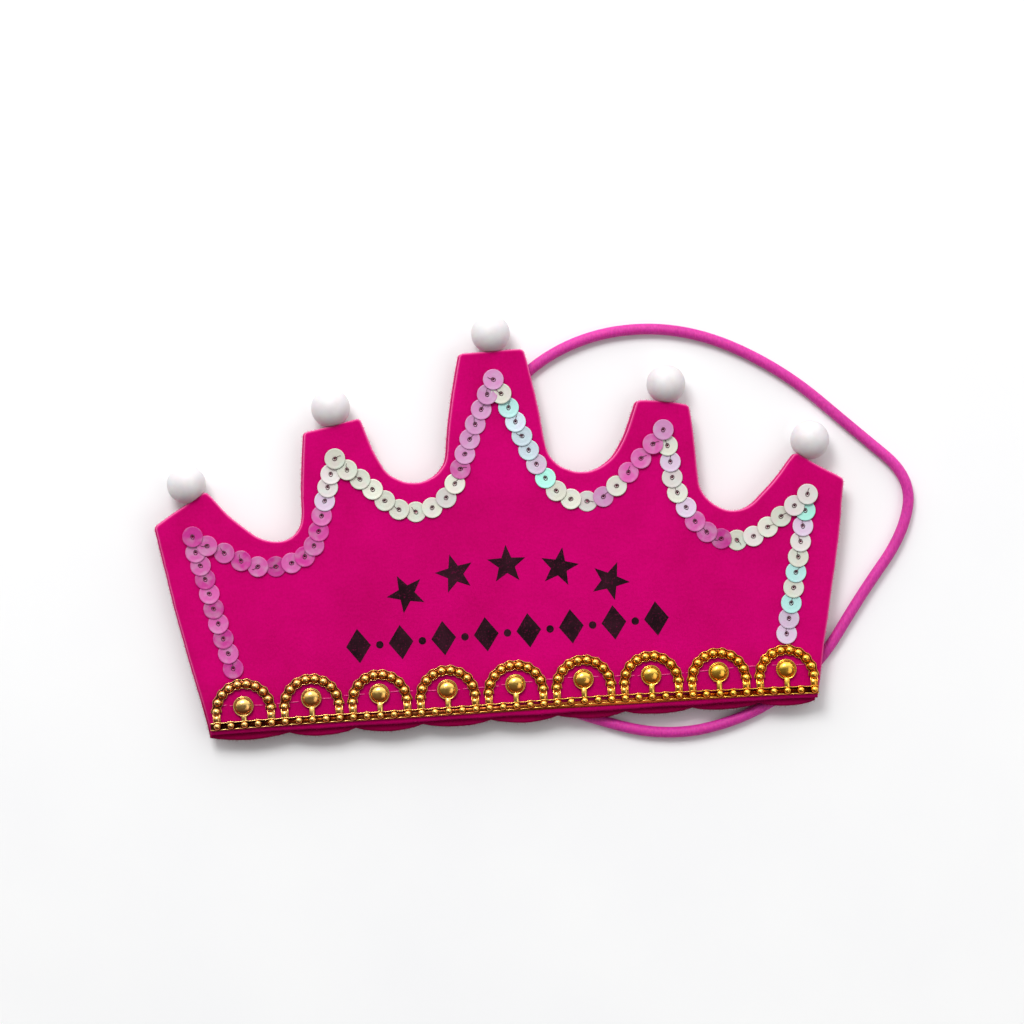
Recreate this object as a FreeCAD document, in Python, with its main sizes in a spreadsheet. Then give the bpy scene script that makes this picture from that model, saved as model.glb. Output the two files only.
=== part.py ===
import FreeCAD, Part
import math
import os
import re

import Sketcher
from FreeCAD import Placement, Rotation, Vector

# A felt party crown that lies on its back: X along the base, Y up to the points, Z out of its face.
# Lengths are in millimetres. Heights over Z start at the table that the crown lies on.

# Driving dimensions: name, value, what it is
SIZES = [
    ("base_width", 176.4, "width of the crown along its base"),
    ("outer_corner_span", 200.1, "between the outer corners of the two outer points"),
    ("outer_corner_rise", 61.0, "height of those corners over the base"),
    ("outer_tip_run", 13.05, "how far inside them the inner corners of the outer points lie"),
    ("outer_tip_rise", 69.9, "height of those corners"),
    ("mid_tip_outer_span", 111.0, "between the outer corners of the two middle points"),
    ("mid_tip_outer_rise", 86.1, "height of those corners"),
    ("mid_tip_run", 15.0, "how far inside them the inner corners of the middle points lie"),
    ("mid_tip_inner_rise", 88.5, "height of those corners"),
    ("centre_tip_width", 18.6, "width of the blunt centre point"),
    ("crown_height", 106.1, "height of the centre point over the base"),
    ("outer_valley_shift", 3.65, "its arc lies this far inside the middle between its two points"),
    ("outer_valley_rise", 65.0, "height of that arc's centre"),
    ("outer_valley_radius", 9.5, "radius of that arc"),
    ("inner_valley_shift", 0.1, "its arc lies this far outside the middle between its two points"),
    ("inner_valley_rise", 79.1, "height of that arc's centre"),
    ("inner_valley_radius", 9.8, "radius of that arc"),
    ("tip_rounding", 1.4, "rounding of the points' corners"),
    ("felt_thickness", 1.8, "one layer of felt"),
    ("skirt_lobes", 9, "scallops along the back layer's lower edge"),
    ("skirt_notch", 0.7, "how far the notches between the scallops lie below the base"),
    ("skirt_drop", 2.1, "how far the scallops hang below the base"),
    ("ball_diameter", 11.3, "ball on each point"),
    ("ball_bite", 0.75, "how deep a ball's slot is pushed over the felt's edge"),
    ("ball_shift", 1.6, "from the inner corner of an outer point to its ball"),
    ("scallops", 9, "arches of the bead trim"),
    ("trim_overhang", 0.81, "how far the trim reaches past the base's corners"),
    ("chain_rise", 2.7, "from the base up to the middle of the trim's bead chain"),
    ("chain_width", 2.4, "width of the chain's web over its two rails"),
    ("web_height", 0.6, "thickness of the web and the stems"),
    ("rail_width", 0.4, "width of one rail"),
    ("rail_height", 1.0, "height of the rails and the rims over the felt"),
    ("chain_bead", 1.5, "width of a chain bead"),
    ("chain_bead_height", 1.4, "its height over the felt"),
    ("arch_rise", 3.9, "from the chain up to the middle of an arch"),
    ("arch_band", 2.5, "width of the band under the arch beads"),
    ("arch_height", 0.9, "thickness of that band"),
    ("arch_bead", 2.4, "width of an arch bead"),
    ("arch_bead_height", 1.9, "its height over the felt"),
    ("arch_beads", 10, "beads on one arch"),
    ("dome_rise", 6.2, "from the chain up to the middle of a dome"),
    ("rim_diameter", 6.0, "rim around a dome"),
    ("dome_diameter", 5.0, "dome in the middle of each arch"),
    ("dome_height", 2.2, "its height over the felt"),
    ("stem_width", 1.9, "stem that carries a dome"),
    ("sequin_diameter", 6.0, "sequin"),
    ("sequin_hole", 1.0, "hole for the thread"),
    ("sequin_thickness", 0.25, "sheet that the sequins are punched from"),
    ("sequin_clearance", 0.1, "room between sequins that overlap"),
    ("sequin_spacing", 4.62, "from sequin to sequin along a strand"),
    ("strand_inset", 8.3, "from the edge of a point to the strand's peak"),
    ("strand_margin", 11.6, "from the crown's side to the strand's lower end"),
    ("outer_strand_drop", 4.0, "the strand's arc lies this far below the outer valley's"),
    ("outer_strand_radius", 14.1, "radius of that arc of the strand"),
    ("inner_strand_drop", 6.6, "the strand's arc lies this far below the inner valley's"),
    ("inner_strand_radius", 11.6, "radius of that arc of the strand"),
    ("elastic_diameter", 3.2, "round elastic cord"),
    ("elastic_tail", 1.5, "cord end that shows past its stay"),
    ("stay_wall", 0.6, "stitched stay over a cord end"),
    ("stay_clearance", 0.05, "room between the stay and the cord"),
    ("stay_length", 4.0, "length of a stay along the cord"),
    ("stay_foot", 1.6, "flange of a stay on each side"),
]

# Dimensions that follow from the driving ones
DERIVED = [
    ("cord_height", "stay_wall + stay_clearance + elastic_diameter / 2"),
    ("back_height", "stay_wall + stay_clearance + elastic_diameter"),
    ("seam_height", "back_height + felt_thickness"),
    ("face_height", "seam_height + felt_thickness"),
    ("ball_reach", "ball_diameter / 2 - ball_bite"),
    ("frame_offset", "(crown_height + ball_diameter - ball_bite - skirt_drop) / 2"),
    ("outer_tip_x", "outer_corner_span / 2 - outer_tip_run"),
    ("mid_tip_x", "mid_tip_outer_span / 2 - mid_tip_run"),
    ("outer_valley_place", "(outer_tip_x + mid_tip_outer_span / 2) / 2 - outer_valley_shift"),
    ("inner_valley_place", "(mid_tip_x + centre_tip_width / 2) / 2 + inner_valley_shift"),
    ("outer_edge_fall", "outer_tip_rise - outer_corner_rise"),
    ("outer_edge", "sqrt(outer_tip_run ^ 2 + outer_edge_fall ^ 2)"),
    ("mid_edge_fall", "mid_tip_inner_rise - mid_tip_outer_rise"),
    ("mid_edge", "sqrt(mid_tip_run ^ 2 + mid_edge_fall ^ 2)"),
    ("outer_ball_x", "outer_tip_x + (ball_shift * outer_tip_run + ball_reach * outer_edge_fall) / outer_edge"),
    ("outer_ball_y", "outer_tip_rise + (ball_reach * outer_tip_run - ball_shift * outer_edge_fall) / outer_edge"),
    ("mid_ball_x", "mid_tip_x + mid_tip_run / 2 + ball_reach * mid_edge_fall / mid_edge"),
    ("mid_ball_y", "(mid_tip_inner_rise + mid_tip_outer_rise) / 2 + ball_reach * mid_tip_run / mid_edge"),
    ("centre_ball_y", "crown_height + ball_reach"),
    ("skirt_pitch", "base_width / skirt_lobes"),
    ("scallop_pitch", "(base_width + 2 * trim_overhang) / scallops"),
    ("chain_pitch", "scallop_pitch / 5"),
    ("arch_radius", "2 * chain_pitch"),
]

# Elastic cord from its left end to its right end: x, y over the crown's base, and height of its middle
CORD_SIDES = 6
CORD_LOW = 1.6
CORD_END = 2.25
CORD_POINTS = [
    (-76, 8, CORD_END), (-52, 13, CORD_END), (-27, 15, CORD_LOW), (-3, 10, CORD_LOW),
    (18, -1, CORD_LOW), (44, -9.5, CORD_LOW), (69, -5, CORD_LOW), (89, 8, CORD_LOW),
    (103, 28.5, CORD_LOW), (117, 46, CORD_LOW), (120, 62, CORD_LOW), (105, 76, CORD_LOW),
    (84, 96, CORD_LOW), (58, 109.5, CORD_LOW), (31, 110.5, CORD_LOW), (8, 100, CORD_LOW),
    (-6, 80, CORD_LOW), (-5, 57, CORD_LOW), (11, 38, CORD_LOW), (34, 24, CORD_LOW),
    (54, 16, CORD_END), (74, 9, CORD_END),
]

doc = FreeCAD.newDocument("crown")
sheet = doc.addObject("Spreadsheet::Sheet", "Sizes")


def fill_sheet():
    """Writes the driving dimensions and the ones that follow from them into the sheet."""
    for row, (name, value, note) in enumerate(SIZES, start=1):
        sheet.set("A%d" % row, name)
        sheet.set("B%d" % row, str(value))
        sheet.set("C%d" % row, note)
        sheet.setAlias("B%d" % row, name)
    for row, (name, formula) in enumerate(DERIVED, start=len(SIZES) + 2):
        sheet.set("A%d" % row, name)
        sheet.set("B%d" % row, "=" + formula)
        sheet.setAlias("B%d" % row, name)
    doc.recompute()


def size(name):
    return float(sheet.get(name))


def cells(rule):
    """An expression in which each word that the sheet knows points at its cell."""
    known = {name for name, _, _ in SIZES} | {name for name, _ in DERIVED}
    return re.sub(r"[a-z_]+", lambda word: "Sizes." + word[0] if word[0] in known else word[0], rule)


def bind(thing, prop, rule):
    thing.setExpression(prop, cells(rule))


def new_body(name, height):
    """A body in the crown's frame whose own XY plane lies at the given height."""
    body = doc.addObject("PartDesign::Body", name)
    body.Label = name
    bind(body, "Placement.Base.y", "-frame_offset")
    bind(body, "Placement.Base.z", height)
    return body


def new_sketch(body, name, plane="XY_Plane", x="0", y="0"):
    """A sketch on one of the body's own planes, with its origin moved to x, y in that plane."""
    sketch = body.newObject("Sketcher::SketchObject", name)
    sketch.AttachmentSupport = [(next(f for f in body.Origin.OriginFeatures if f.Role == plane), "")]
    sketch.MapMode = "FlatFace"
    bind(sketch, "AttachmentOffset.Base.x", x)
    bind(sketch, "AttachmentOffset.Base.y", y)
    return sketch


def limit(sketch, kind, *where, rule):
    """A dimension between points of the sketch, bound to the sheet."""
    value = sketch.evalExpression(cells(rule))
    number = sketch.addConstraint(Sketcher.Constraint(kind, *where, float(value)))
    sketch.setExpression("Constraints[%d]" % number, cells(rule))


def place(sketch, line, end, x, y):
    """Holds one end of a line at x, y from the sketch's origin."""
    limit(sketch, "DistanceX", -1, 1, line, end, rule=x)
    limit(sketch, "DistanceY", -1, 1, line, end, rule=y)


def pad(body, sketch, name, length, taper=0.0):
    feature = body.newObject("PartDesign::Pad", name)
    feature.Profile = sketch
    bind(feature, "Length", length)
    feature.TaperAngle = taper
    doc.recompute()
    body.Tip = feature
    return feature


def row_of(body, features, sketch, name, length, count):
    """Repeats features along the sketch's horizontal axis."""
    pattern = body.newObject("PartDesign::LinearPattern", name)
    pattern.Originals = features
    pattern.Direction = (sketch, ["H_Axis"])
    bind(pattern, "Length", length)
    bind(pattern, "Occurrences", count)
    doc.recompute()
    body.Tip = pattern
    return pattern


def tangent_point(corner, centre, radius, side):
    """Where a line from the corner touches a circle, on its left (1) or right (-1) as seen from the centre."""
    reach = math.hypot(corner[0] - centre[0], corner[1] - centre[1])
    angle = math.atan2(corner[1] - centre[1], corner[0] - centre[0])
    angle += side * math.acos(radius / reach)
    return centre[0] + radius * math.cos(angle), centre[1] + radius * math.sin(angle)


# Felt layers: both are cut to one outline, and the back layer ends in shallow scallops
def corner_rules():
    """The corners of the right half of the outline, from the base to the centre point."""
    return [
        ("base_width / 2", "0"),
        ("outer_corner_span / 2", "outer_corner_rise"),
        ("outer_tip_x", "outer_tip_rise"),
        ("mid_tip_outer_span / 2", "mid_tip_outer_rise"),
        ("mid_tip_x", "mid_tip_inner_rise"),
        ("centre_tip_width / 2", "crown_height"),
    ]


def outline_corners():
    return [tuple(float(sheet.evalExpression(rule)) for rule in pair) for pair in corner_rules()]


def valleys():
    """The valleys between the points: arc centre and radius, and the strand's own arc below."""
    found = {}
    for name in ("outer", "inner"):
        middle = (size(name + "_valley_place"), size(name + "_valley_rise"))
        strand = (middle[0], middle[1] - size(name + "_strand_drop"))
        found[name] = (middle, size(name + "_valley_radius"), strand, size(name + "_strand_radius"))
    return found


def half_outline(body, name):
    """The right half of the crown, closed along its middle."""
    sketch = new_sketch(body, name)
    base, outer, outer_in, mid_out, mid_in, centre = outline_corners()
    top = (0, centre[1])
    outer_arc = valleys()["outer"][:2]
    inner_arc = valleys()["inner"][:2]
    touch = [
        tangent_point(outer_in, *outer_arc, -1), tangent_point(mid_out, *outer_arc, 1),
        tangent_point(mid_in, *inner_arc, -1), tangent_point(centre, *inner_arc, 1),
    ]
    stops = [(0, 0), base, outer, outer_in, touch[0], None, touch[1], mid_out, mid_in,
             touch[2], None, touch[3], centre, top, (0, 0)]
    arcs = {4: outer_arc, 9: inner_arc}
    ids = []
    for step, (start, end) in enumerate(zip(stops, stops[1:])):
        if end is None:
            middle, radius = arcs[step]
            first = math.atan2(stops[step + 2][1] - middle[1], stops[step + 2][0] - middle[0])
            last = math.atan2(start[1] - middle[1], start[0] - middle[0])
            circle = Part.Circle(Vector(*middle, 0), Vector(0, 0, 1), radius)
            ids.append(sketch.addGeometry(Part.ArcOfCircle(circle, first, last), False))
        elif start is not None:
            ids.append(sketch.addGeometry(Part.LineSegment(Vector(*start, 0), Vector(*end, 0)), False))
    low, side, outer_top, wall_a, arc_a, wall_b, mid_top, wall_c, arc_c, wall_d, high, axis = ids
    for one, two in ((low, side), (side, outer_top), (outer_top, wall_a), (wall_b, mid_top),
                     (mid_top, wall_c), (wall_d, high), (high, axis), (axis, low)):
        sketch.addConstraint(Sketcher.Constraint("Coincident", one, 2, two, 1))
    for wall, wall_end, arc, arc_end in ((wall_a, 2, arc_a, 2), (wall_b, 1, arc_a, 1),
                                         (wall_c, 2, arc_c, 2), (wall_d, 1, arc_c, 1)):
        sketch.addConstraint(Sketcher.Constraint("Tangent", wall, wall_end, arc, arc_end))
    sketch.addConstraint(Sketcher.Constraint("Coincident", low, 1, -1, 1))
    sketch.addConstraint(Sketcher.Constraint("Horizontal", low))
    sketch.addConstraint(Sketcher.Constraint("Horizontal", high))
    sketch.addConstraint(Sketcher.Constraint("PointOnObject", axis, 1, -2))
    rules = corner_rules()
    limit(sketch, "DistanceX", -1, 1, low, 2, rule=rules[0][0])
    for line, (x, y) in zip((side, outer_top, wall_b, mid_top, wall_d), rules[1:]):
        place(sketch, line, 2, x, y)
    for arc, valley in ((arc_a, "outer"), (arc_c, "inner")):
        place(sketch, arc, 3, valley + "_valley_place", valley + "_valley_rise")
        limit(sketch, "Radius", arc, rule=valley + "_valley_radius")
    return sketch


def round_tips(body, feature, name):
    """Rounds the corners of the points, which are the upright edges over the outline's corners."""
    corners = outline_corners()[1:]
    edges = []
    for number, edge in enumerate(feature.Shape.Edges, start=1):
        ends = [vertex.Point for vertex in edge.Vertexes]
        upright = len(ends) == 2 and abs(ends[0].z - ends[1].z) > size("felt_thickness") / 2
        at_corner = any(math.dist((abs(ends[0].x), ends[0].y), corner) < 0.01 for corner in corners)
        if upright and at_corner:
            edges.append("Edge%d" % number)
    fillet = body.newObject("PartDesign::Fillet", name)
    fillet.Base = (feature, edges)
    bind(fillet, "Radius", "tip_rounding")
    doc.recompute()
    body.Tip = fillet


def felt_layer(name, height):
    """One layer of felt: half of it padded, mirrored over the middle, with rounded points."""
    body = new_body(name, height)
    sketch = half_outline(body, name + "_outline")
    layer = pad(body, sketch, name + "_half", "felt_thickness")
    mirror = body.newObject("PartDesign::Mirrored", name + "_whole")
    mirror.Originals = [layer]
    mirror.MirrorPlane = (sketch, ["V_Axis"])
    doc.recompute()
    body.Tip = mirror
    return body, mirror


def add_skirt(body):
    """Shallow scallops along the lower edge of the back layer."""
    half = "skirt_pitch / 2"
    sketch = new_sketch(body, "skirt_lobe", x="(skirt_pitch - base_width) / 2")
    wide, notch, drop = size("skirt_pitch") / 2, size("skirt_notch"), size("skirt_drop")
    top = sketch.addGeometry(Part.LineSegment(Vector(wide, 0, 0), Vector(-wide, 0, 0)), False)
    left = sketch.addGeometry(Part.LineSegment(Vector(-wide, 0, 0), Vector(-wide, -notch, 0)), False)
    lobe = sketch.addGeometry(Part.Arc(Vector(-wide, -notch, 0), Vector(0, -drop, 0), Vector(wide, -notch, 0)), False)
    right = sketch.addGeometry(Part.LineSegment(Vector(wide, -notch, 0), Vector(wide, 0, 0)), False)
    for one, one_end, two, two_end in ((top, 2, left, 1), (left, 2, lobe, 1), (lobe, 2, right, 1), (right, 2, top, 1)):
        sketch.addConstraint(Sketcher.Constraint("Coincident", one, one_end, two, two_end))
    place(sketch, right, 1, half, "-skirt_notch")
    sketch.addConstraint(Sketcher.Constraint("PointOnObject", left, 1, -1))
    sketch.addConstraint(Sketcher.Constraint("Vertical", left))
    sketch.addConstraint(Sketcher.Constraint("Vertical", right))
    sketch.addConstraint(Sketcher.Constraint("Horizontal", top))
    sketch.addConstraint(Sketcher.Constraint("Symmetric", lobe, 1, lobe, 2, -2))
    limit(sketch, "Radius", lobe, rule="((skirt_pitch / 2) ^ 2 + (skirt_drop - skirt_notch) ^ 2)"
                                       " / (2 * (skirt_drop - skirt_notch))")
    lobe_pad = pad(body, sketch, "skirt_lobe_pad", "felt_thickness")
    row_of(body, [lobe_pad], sketch, "skirt", "base_width - skirt_pitch", "skirt_lobes")


def make_panels():
    back, whole = felt_layer("back_panel", "back_height")
    round_tips(back, whole, "back_panel_tips")
    add_skirt(back)
    front, whole = felt_layer("front_panel", "seam_height")
    round_tips(front, whole, "front_panel_tips")
    return back, front


# Bead trim: one moulding of nine arches that stand on a chain of beads
def polygon(sketch, sides, diameter, turn=0.0):
    """A regular polygon whose corners lie on a circle around the sketch's origin."""
    radius = size(diameter) / 2
    ring = sketch.addGeometry(Part.Circle(Vector(0, 0, 0), Vector(0, 0, 1), radius), True)
    sketch.addConstraint(Sketcher.Constraint("Coincident", ring, 3, -1, 1))
    limit(sketch, "Diameter", ring, rule=diameter)
    corners = [Vector(radius * math.cos(turn + 2 * math.pi * n / sides),
                      radius * math.sin(turn + 2 * math.pi * n / sides), 0) for n in range(sides)]
    lines = [sketch.addGeometry(Part.LineSegment(a, b), False)
             for a, b in zip(corners, corners[1:] + corners[:1])]
    for one, two in zip(lines, lines[1:] + lines[:1]):
        sketch.addConstraint(Sketcher.Constraint("Coincident", one, 2, two, 1))
        sketch.addConstraint(Sketcher.Constraint("PointOnObject", one, 2, ring))
    for line in lines[1:]:
        sketch.addConstraint(Sketcher.Constraint("Equal", lines[0], line))
    sketch.addConstraint(Sketcher.Constraint("PointOnObject", lines[0], 1, -1))


def rectangle(sketch, left, right, low, high):
    """A rectangle between four distances from the sketch's origin."""
    x0, x1, y0, y1 = (float(sheet.evalExpression(rule)) for rule in (left, right, low, high))
    corners = [Vector(x0, y0, 0), Vector(x1, y0, 0), Vector(x1, y1, 0), Vector(x0, y1, 0)]
    lines = [sketch.addGeometry(Part.LineSegment(a, b), False)
             for a, b in zip(corners, corners[1:] + corners[:1])]
    for one, two in zip(lines, lines[1:] + lines[:1]):
        sketch.addConstraint(Sketcher.Constraint("Coincident", one, 2, two, 1))
    for line, way in zip(lines, ("Horizontal", "Vertical", "Horizontal", "Vertical")):
        sketch.addConstraint(Sketcher.Constraint(way, line))
    place(sketch, lines[0], 1, left, low)
    place(sketch, lines[1], 2, right, high)


def closed_outline(sketch, corners):
    """Straight lines through corners, each given as rules for its distance from the sketch's origin."""
    spots = [Vector(float(sheet.evalExpression(x)), float(sheet.evalExpression(y)), 0)
             for x, y in corners]
    lines = [sketch.addGeometry(Part.LineSegment(a, b), False) for a, b in zip(spots, spots[1:] + spots[:1])]
    for one, two in zip(lines, lines[1:] + lines[:1]):
        sketch.addConstraint(Sketcher.Constraint("Coincident", one, 2, two, 1))
    for line, (x, y) in zip(lines, corners):
        place(sketch, line, 1, x, y)


def arch_outline(sketch):
    """An arch on two legs that reach down to the chain; its edges bend between one bead and the next."""
    count = int(size("arch_beads"))
    step = ARCH_SWEEP / (count - 1)
    first = (180 - ARCH_SWEEP) / 2 + step / 2
    turns = [first + step * number for number in range(count - 1)]
    outer = "(arch_radius + arch_band / 2)"
    inner = "(arch_radius - arch_band / 2)"
    bends = [("%s * cos(%.3f)" % (outer, turn), "%s * sin(%.3f)" % (outer, turn)) for turn in turns]
    back = [("%s * cos(%.3f)" % (inner, turn), "%s * sin(%.3f)" % (inner, turn)) for turn in turns]
    foot = "-arch_rise"
    closed_outline(sketch, [(inner, foot), (outer, foot)] + bends
                   + [("-" + outer, foot), ("-" + inner, foot)] + back[::-1])


BEAD_SIDES = 6
CHAIN_SIDES = 4
DOME_SIDES = 10
ARCH_SWEEP = 174


def turned(sides, profile):
    """A closed solid with flat facets around the Z axis, through rings of the given radius and height."""
    rings = [[Vector(radius * math.cos(2 * math.pi * n / sides), radius * math.sin(2 * math.pi * n / sides), height)
              for n in range(sides)] for radius, height in profile]
    faces = [Part.Face(Part.makePolygon(ring + ring[:1])) for ring in (rings[0], rings[-1])]
    for low, high in zip(rings, rings[1:]):
        for n in range(sides):
            on = (n + 1) % sides
            faces.append(Part.Face(Part.makePolygon([low[n], low[on], high[on], high[n], low[n]])))
    solid = Part.makeSolid(Part.makeShell(faces))
    if solid.Volume < 0:
        solid.reverse()
    return solid


def make_trim_web():
    """The flat parts of one scallop: an arch on its legs, a stem with its rim, and the chain's web and rails."""
    body = new_body("trim_web", "face_height")
    arch = new_sketch(body, "arch_outline", y="chain_rise + arch_rise")
    arch_outline(arch)
    pad(body, arch, "arch_band_pad", "arch_height")
    stem = new_sketch(body, "stem_outline", y="chain_rise")
    rectangle(stem, "-stem_width / 2", "stem_width / 2", "0", "dome_rise")
    pad(body, stem, "stem_pad", "web_height")
    rim = new_sketch(body, "rim_outline", y="chain_rise + dome_rise")
    polygon(rim, DOME_SIDES, "rim_diameter")
    pad(body, rim, "rim_pad", "rail_height")
    web = new_sketch(body, "chain_web", y="chain_rise")
    rectangle(web, "-scallop_pitch / 2", "scallop_pitch / 2", "-chain_width / 2", "chain_width / 2")
    pad(body, web, "chain_web_pad", "web_height")
    for name, way in (("lower_rail", "-1"), ("upper_rail", "1")):
        rail = new_sketch(body, name, y="chain_rise + %s * (chain_width - rail_width) / 2" % way)
        rectangle(rail, "-scallop_pitch / 2", "scallop_pitch / 2", "-rail_width / 2", "rail_width / 2")
        pad(body, rail, name + "_pad", "rail_height")
    return body


def domed(sides, diameter, height):
    """A bead that narrows towards its flat top; a round one narrows in two steps."""
    radius = size(diameter) / 2
    rise = size(height)
    shoulder = [(0.9 * radius, 0.55 * rise)] if sides == DOME_SIDES else []
    return turned(sides, [(radius, 0)] + shoulder + [(0.6 * radius, rise)])


def make_trim_beads():
    """The beads and the dome of one scallop."""
    chain = size("chain_rise")
    centre = chain + size("arch_rise")
    solids = []
    for step in range(-2, 3):
        bead = domed(CHAIN_SIDES, "chain_bead", "chain_bead_height")
        solids.append(bead.translated(Vector(step * size("chain_pitch"), chain, 0)))
    count = int(size("arch_beads"))
    for step in range(count):
        turn = (180 - ARCH_SWEEP) / 2 + ARCH_SWEEP * step / (count - 1)
        angle = math.radians(turn)
        bead = domed(BEAD_SIDES, "arch_bead", "arch_bead_height")
        bead.rotate(Vector(), Vector(0, 0, 1), turn)
        along = Vector(math.cos(angle), math.sin(angle), 0) * size("arch_radius")
        solids.append(bead.translated(along + Vector(0, centre, 0)))
    dome = domed(DOME_SIDES, "dome_diameter", "dome_height")
    solids.append(dome.translated(Vector(0, chain + size("dome_rise"), 0)))
    beads = doc.addObject("Part::Feature", "trim_beads")
    beads.Shape = Part.makeCompound(solids)
    bind(beads, "Placement.Base.y", "-frame_offset")
    bind(beads, "Placement.Base.z", "face_height")
    return beads


def make_trim():
    """One moulding: the scallop with its beads, repeated along the base and joined through the chain."""
    web = make_trim_web()
    beads = make_trim_beads()
    doc.recompute()
    scallop = web.Shape.fuse(beads.Shape)
    pitch = size("scallop_pitch")
    count = int(size("scallops"))
    copies = [scallop.translated(Vector(pitch * (step - (count - 1) / 2), 0, 0)) for step in range(count)]
    trim = doc.addObject("Part::Feature", "gold_trim")
    trim.Label = "gold_trim"
    trim.Shape = copies[0].multiFuse(copies[1:]).removeSplitter()
    trim.Placement = Placement()
    return trim


# Balls: each has a slot that is pushed over the felt's edge
BALL_SIDES = 12
BALL_BANDS = 6
BALL_POLE = math.radians(80)


def ball(name, x, y, panels):
    """A ball that stands on the table, with its slot cut by the felt layers themselves."""
    radius = size("ball_diameter") / 2
    rises = [max(-BALL_POLE, min(BALL_POLE, -math.pi / 2 + math.pi * band / BALL_BANDS))
             for band in range(BALL_BANDS + 1)]
    profile = [(radius * math.cos(rise), radius * math.sin(rise) / math.sin(BALL_POLE)) for rise in rises]
    cut = doc.addObject("Part::Feature", name + "_blank")
    cut.Shape = turned(BALL_SIDES, profile)
    bind(cut, "Placement.Base.x", x)
    bind(cut, "Placement.Base.y", "%s - frame_offset" % y)
    bind(cut, "Placement.Base.z", "ball_diameter / 2")
    for number, panel in enumerate(panels):
        last = number == len(panels) - 1
        slot = doc.addObject("Part::Cut", name if last else name + "_lower_slot")
        slot.Base = cut
        slot.Tool = panel
        cut = slot
    cut.Label = name
    return cut


def make_balls(panels):
    return [
        ball("ball_left_outer", "-outer_ball_x", "outer_ball_y", panels),
        ball("ball_left_middle", "-mid_ball_x", "mid_ball_y", panels),
        ball("ball_centre", "0", "centre_ball_y", panels),
        ball("ball_right_middle", "mid_ball_x", "mid_ball_y", panels),
        ball("ball_right_outer", "outer_ball_x", "outer_ball_y", panels),
    ]


# Sequin strands: sequins overlap like shingles and climb from each valley to the peaks beside it
SEQUIN_SIDES = 8
HOLE_SIDES = 4


def ring_of(sides, radius, height):
    corners = [Vector(radius * math.cos(2 * math.pi * n / sides),
                      radius * math.sin(2 * math.pi * n / sides), height) for n in range(sides)]
    return Part.makePolygon(corners + corners[:1])


def sequin():
    """One flat sequin around the origin, with its hole."""
    half = size("sequin_thickness") / 2
    outer = Part.Face(ring_of(SEQUIN_SIDES, size("sequin_diameter") / 2, -half))
    hole = Part.Face(ring_of(HOLE_SIDES, size("sequin_hole") / 2, -half))
    return outer.cut(hole).extrude(Vector(0, 0, 2 * half))


def shingle_slope():
    """How steeply a sequin lies on the one below: one thickness and some room per spacing."""
    return (size("sequin_thickness") + size("sequin_clearance")) / size("sequin_spacing")


def shingle_height():
    """Height of a tilted sequin's middle, with its lower edge just over the felt."""
    return (size("face_height") + size("sequin_thickness") / 2 + size("sequin_clearance") / 5
            + shingle_slope() * size("sequin_diameter") / 2)


def laid(disc, spot, heading, lift=0.0, level=False):
    """A sequin at a spot of the felt that dips towards its heading, or lies level."""
    copy = disc.copy()
    tilt = 0.0 if level else math.degrees(math.atan(shingle_slope()))
    turn = Rotation(Vector(0, 0, 1), math.degrees(heading)).multiply(Rotation(Vector(0, 1, 0), tilt))
    copy.Placement = Placement(Vector(spot[0], spot[1], shingle_height() + lift), turn)
    return copy


def straight_climb(start, end):
    """Evenly spaced spots on a line, with their heading, from its start to its end."""
    length = math.dist(start, end)
    heading = math.atan2(end[1] - start[1], end[0] - start[0])
    count = round(length / size("sequin_spacing"))
    shares = [step / count for step in range(count + 1)]
    return [((start[0] + (end[0] - start[0]) * share, start[1] + (end[1] - start[1]) * share), heading)
            for share in shares]


def valley_climb(arc, radius, peak, side):
    """Evenly spaced spots from a valley's bottom up its arc and its wall to a peak; side is 1 for rightward."""
    touch = tangent_point(peak, arc, radius, -side)
    end = math.atan2(touch[1] - arc[1], touch[0] - arc[0])
    swing = side * (end + math.pi / 2) % (2 * math.pi)
    curve = radius * swing
    length = curve + math.dist(touch, peak)
    count = round(length / size("sequin_spacing"))
    spots = []
    for step in range(1, count + 1):
        run = length * step / count
        if run < curve:
            angle = -math.pi / 2 + side * run / radius
            spot = (arc[0] + radius * math.cos(angle), arc[1] + radius * math.sin(angle))
            spots.append((spot, angle + side * math.pi / 2))
        else:
            share = (run - curve) / (length - curve)
            spot = tuple(a + (b - a) * share for a, b in zip(touch, peak))
            spots.append((spot, math.atan2(peak[1] - touch[1], peak[0] - touch[0])))
    return spots


def strand_peaks():
    """The strand's peaks, set in from the middle of each point's edge."""
    base, outer, outer_in, mid_out, mid_in, centre = outline_corners()
    peaks = []
    for one, two in ((outer, outer_in), (mid_out, mid_in)):
        edge = math.dist(one, two)
        inward = ((two[1] - one[1]) / -edge, (two[0] - one[0]) / edge)
        peaks.append(tuple((a + b) / 2 + size("strand_inset") * way for a, b, way in zip(one, two, inward)))
    return peaks + [(0, centre[1] - size("strand_inset"))]


def strand_start(peak):
    """The lower end of a side strand, just over the last arch of the trim."""
    base, outer = outline_corners()[:2]
    arch_top = (size("chain_rise") + size("arch_rise") + size("arch_radius") + size("arch_bead") / 2)
    rise = arch_top + size("sequin_diameter") / 2 + size("sequin_clearance")
    side = base[0] + (outer[0] - base[0]) * rise / outer[1]
    return side - size("strand_margin"), rise


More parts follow.
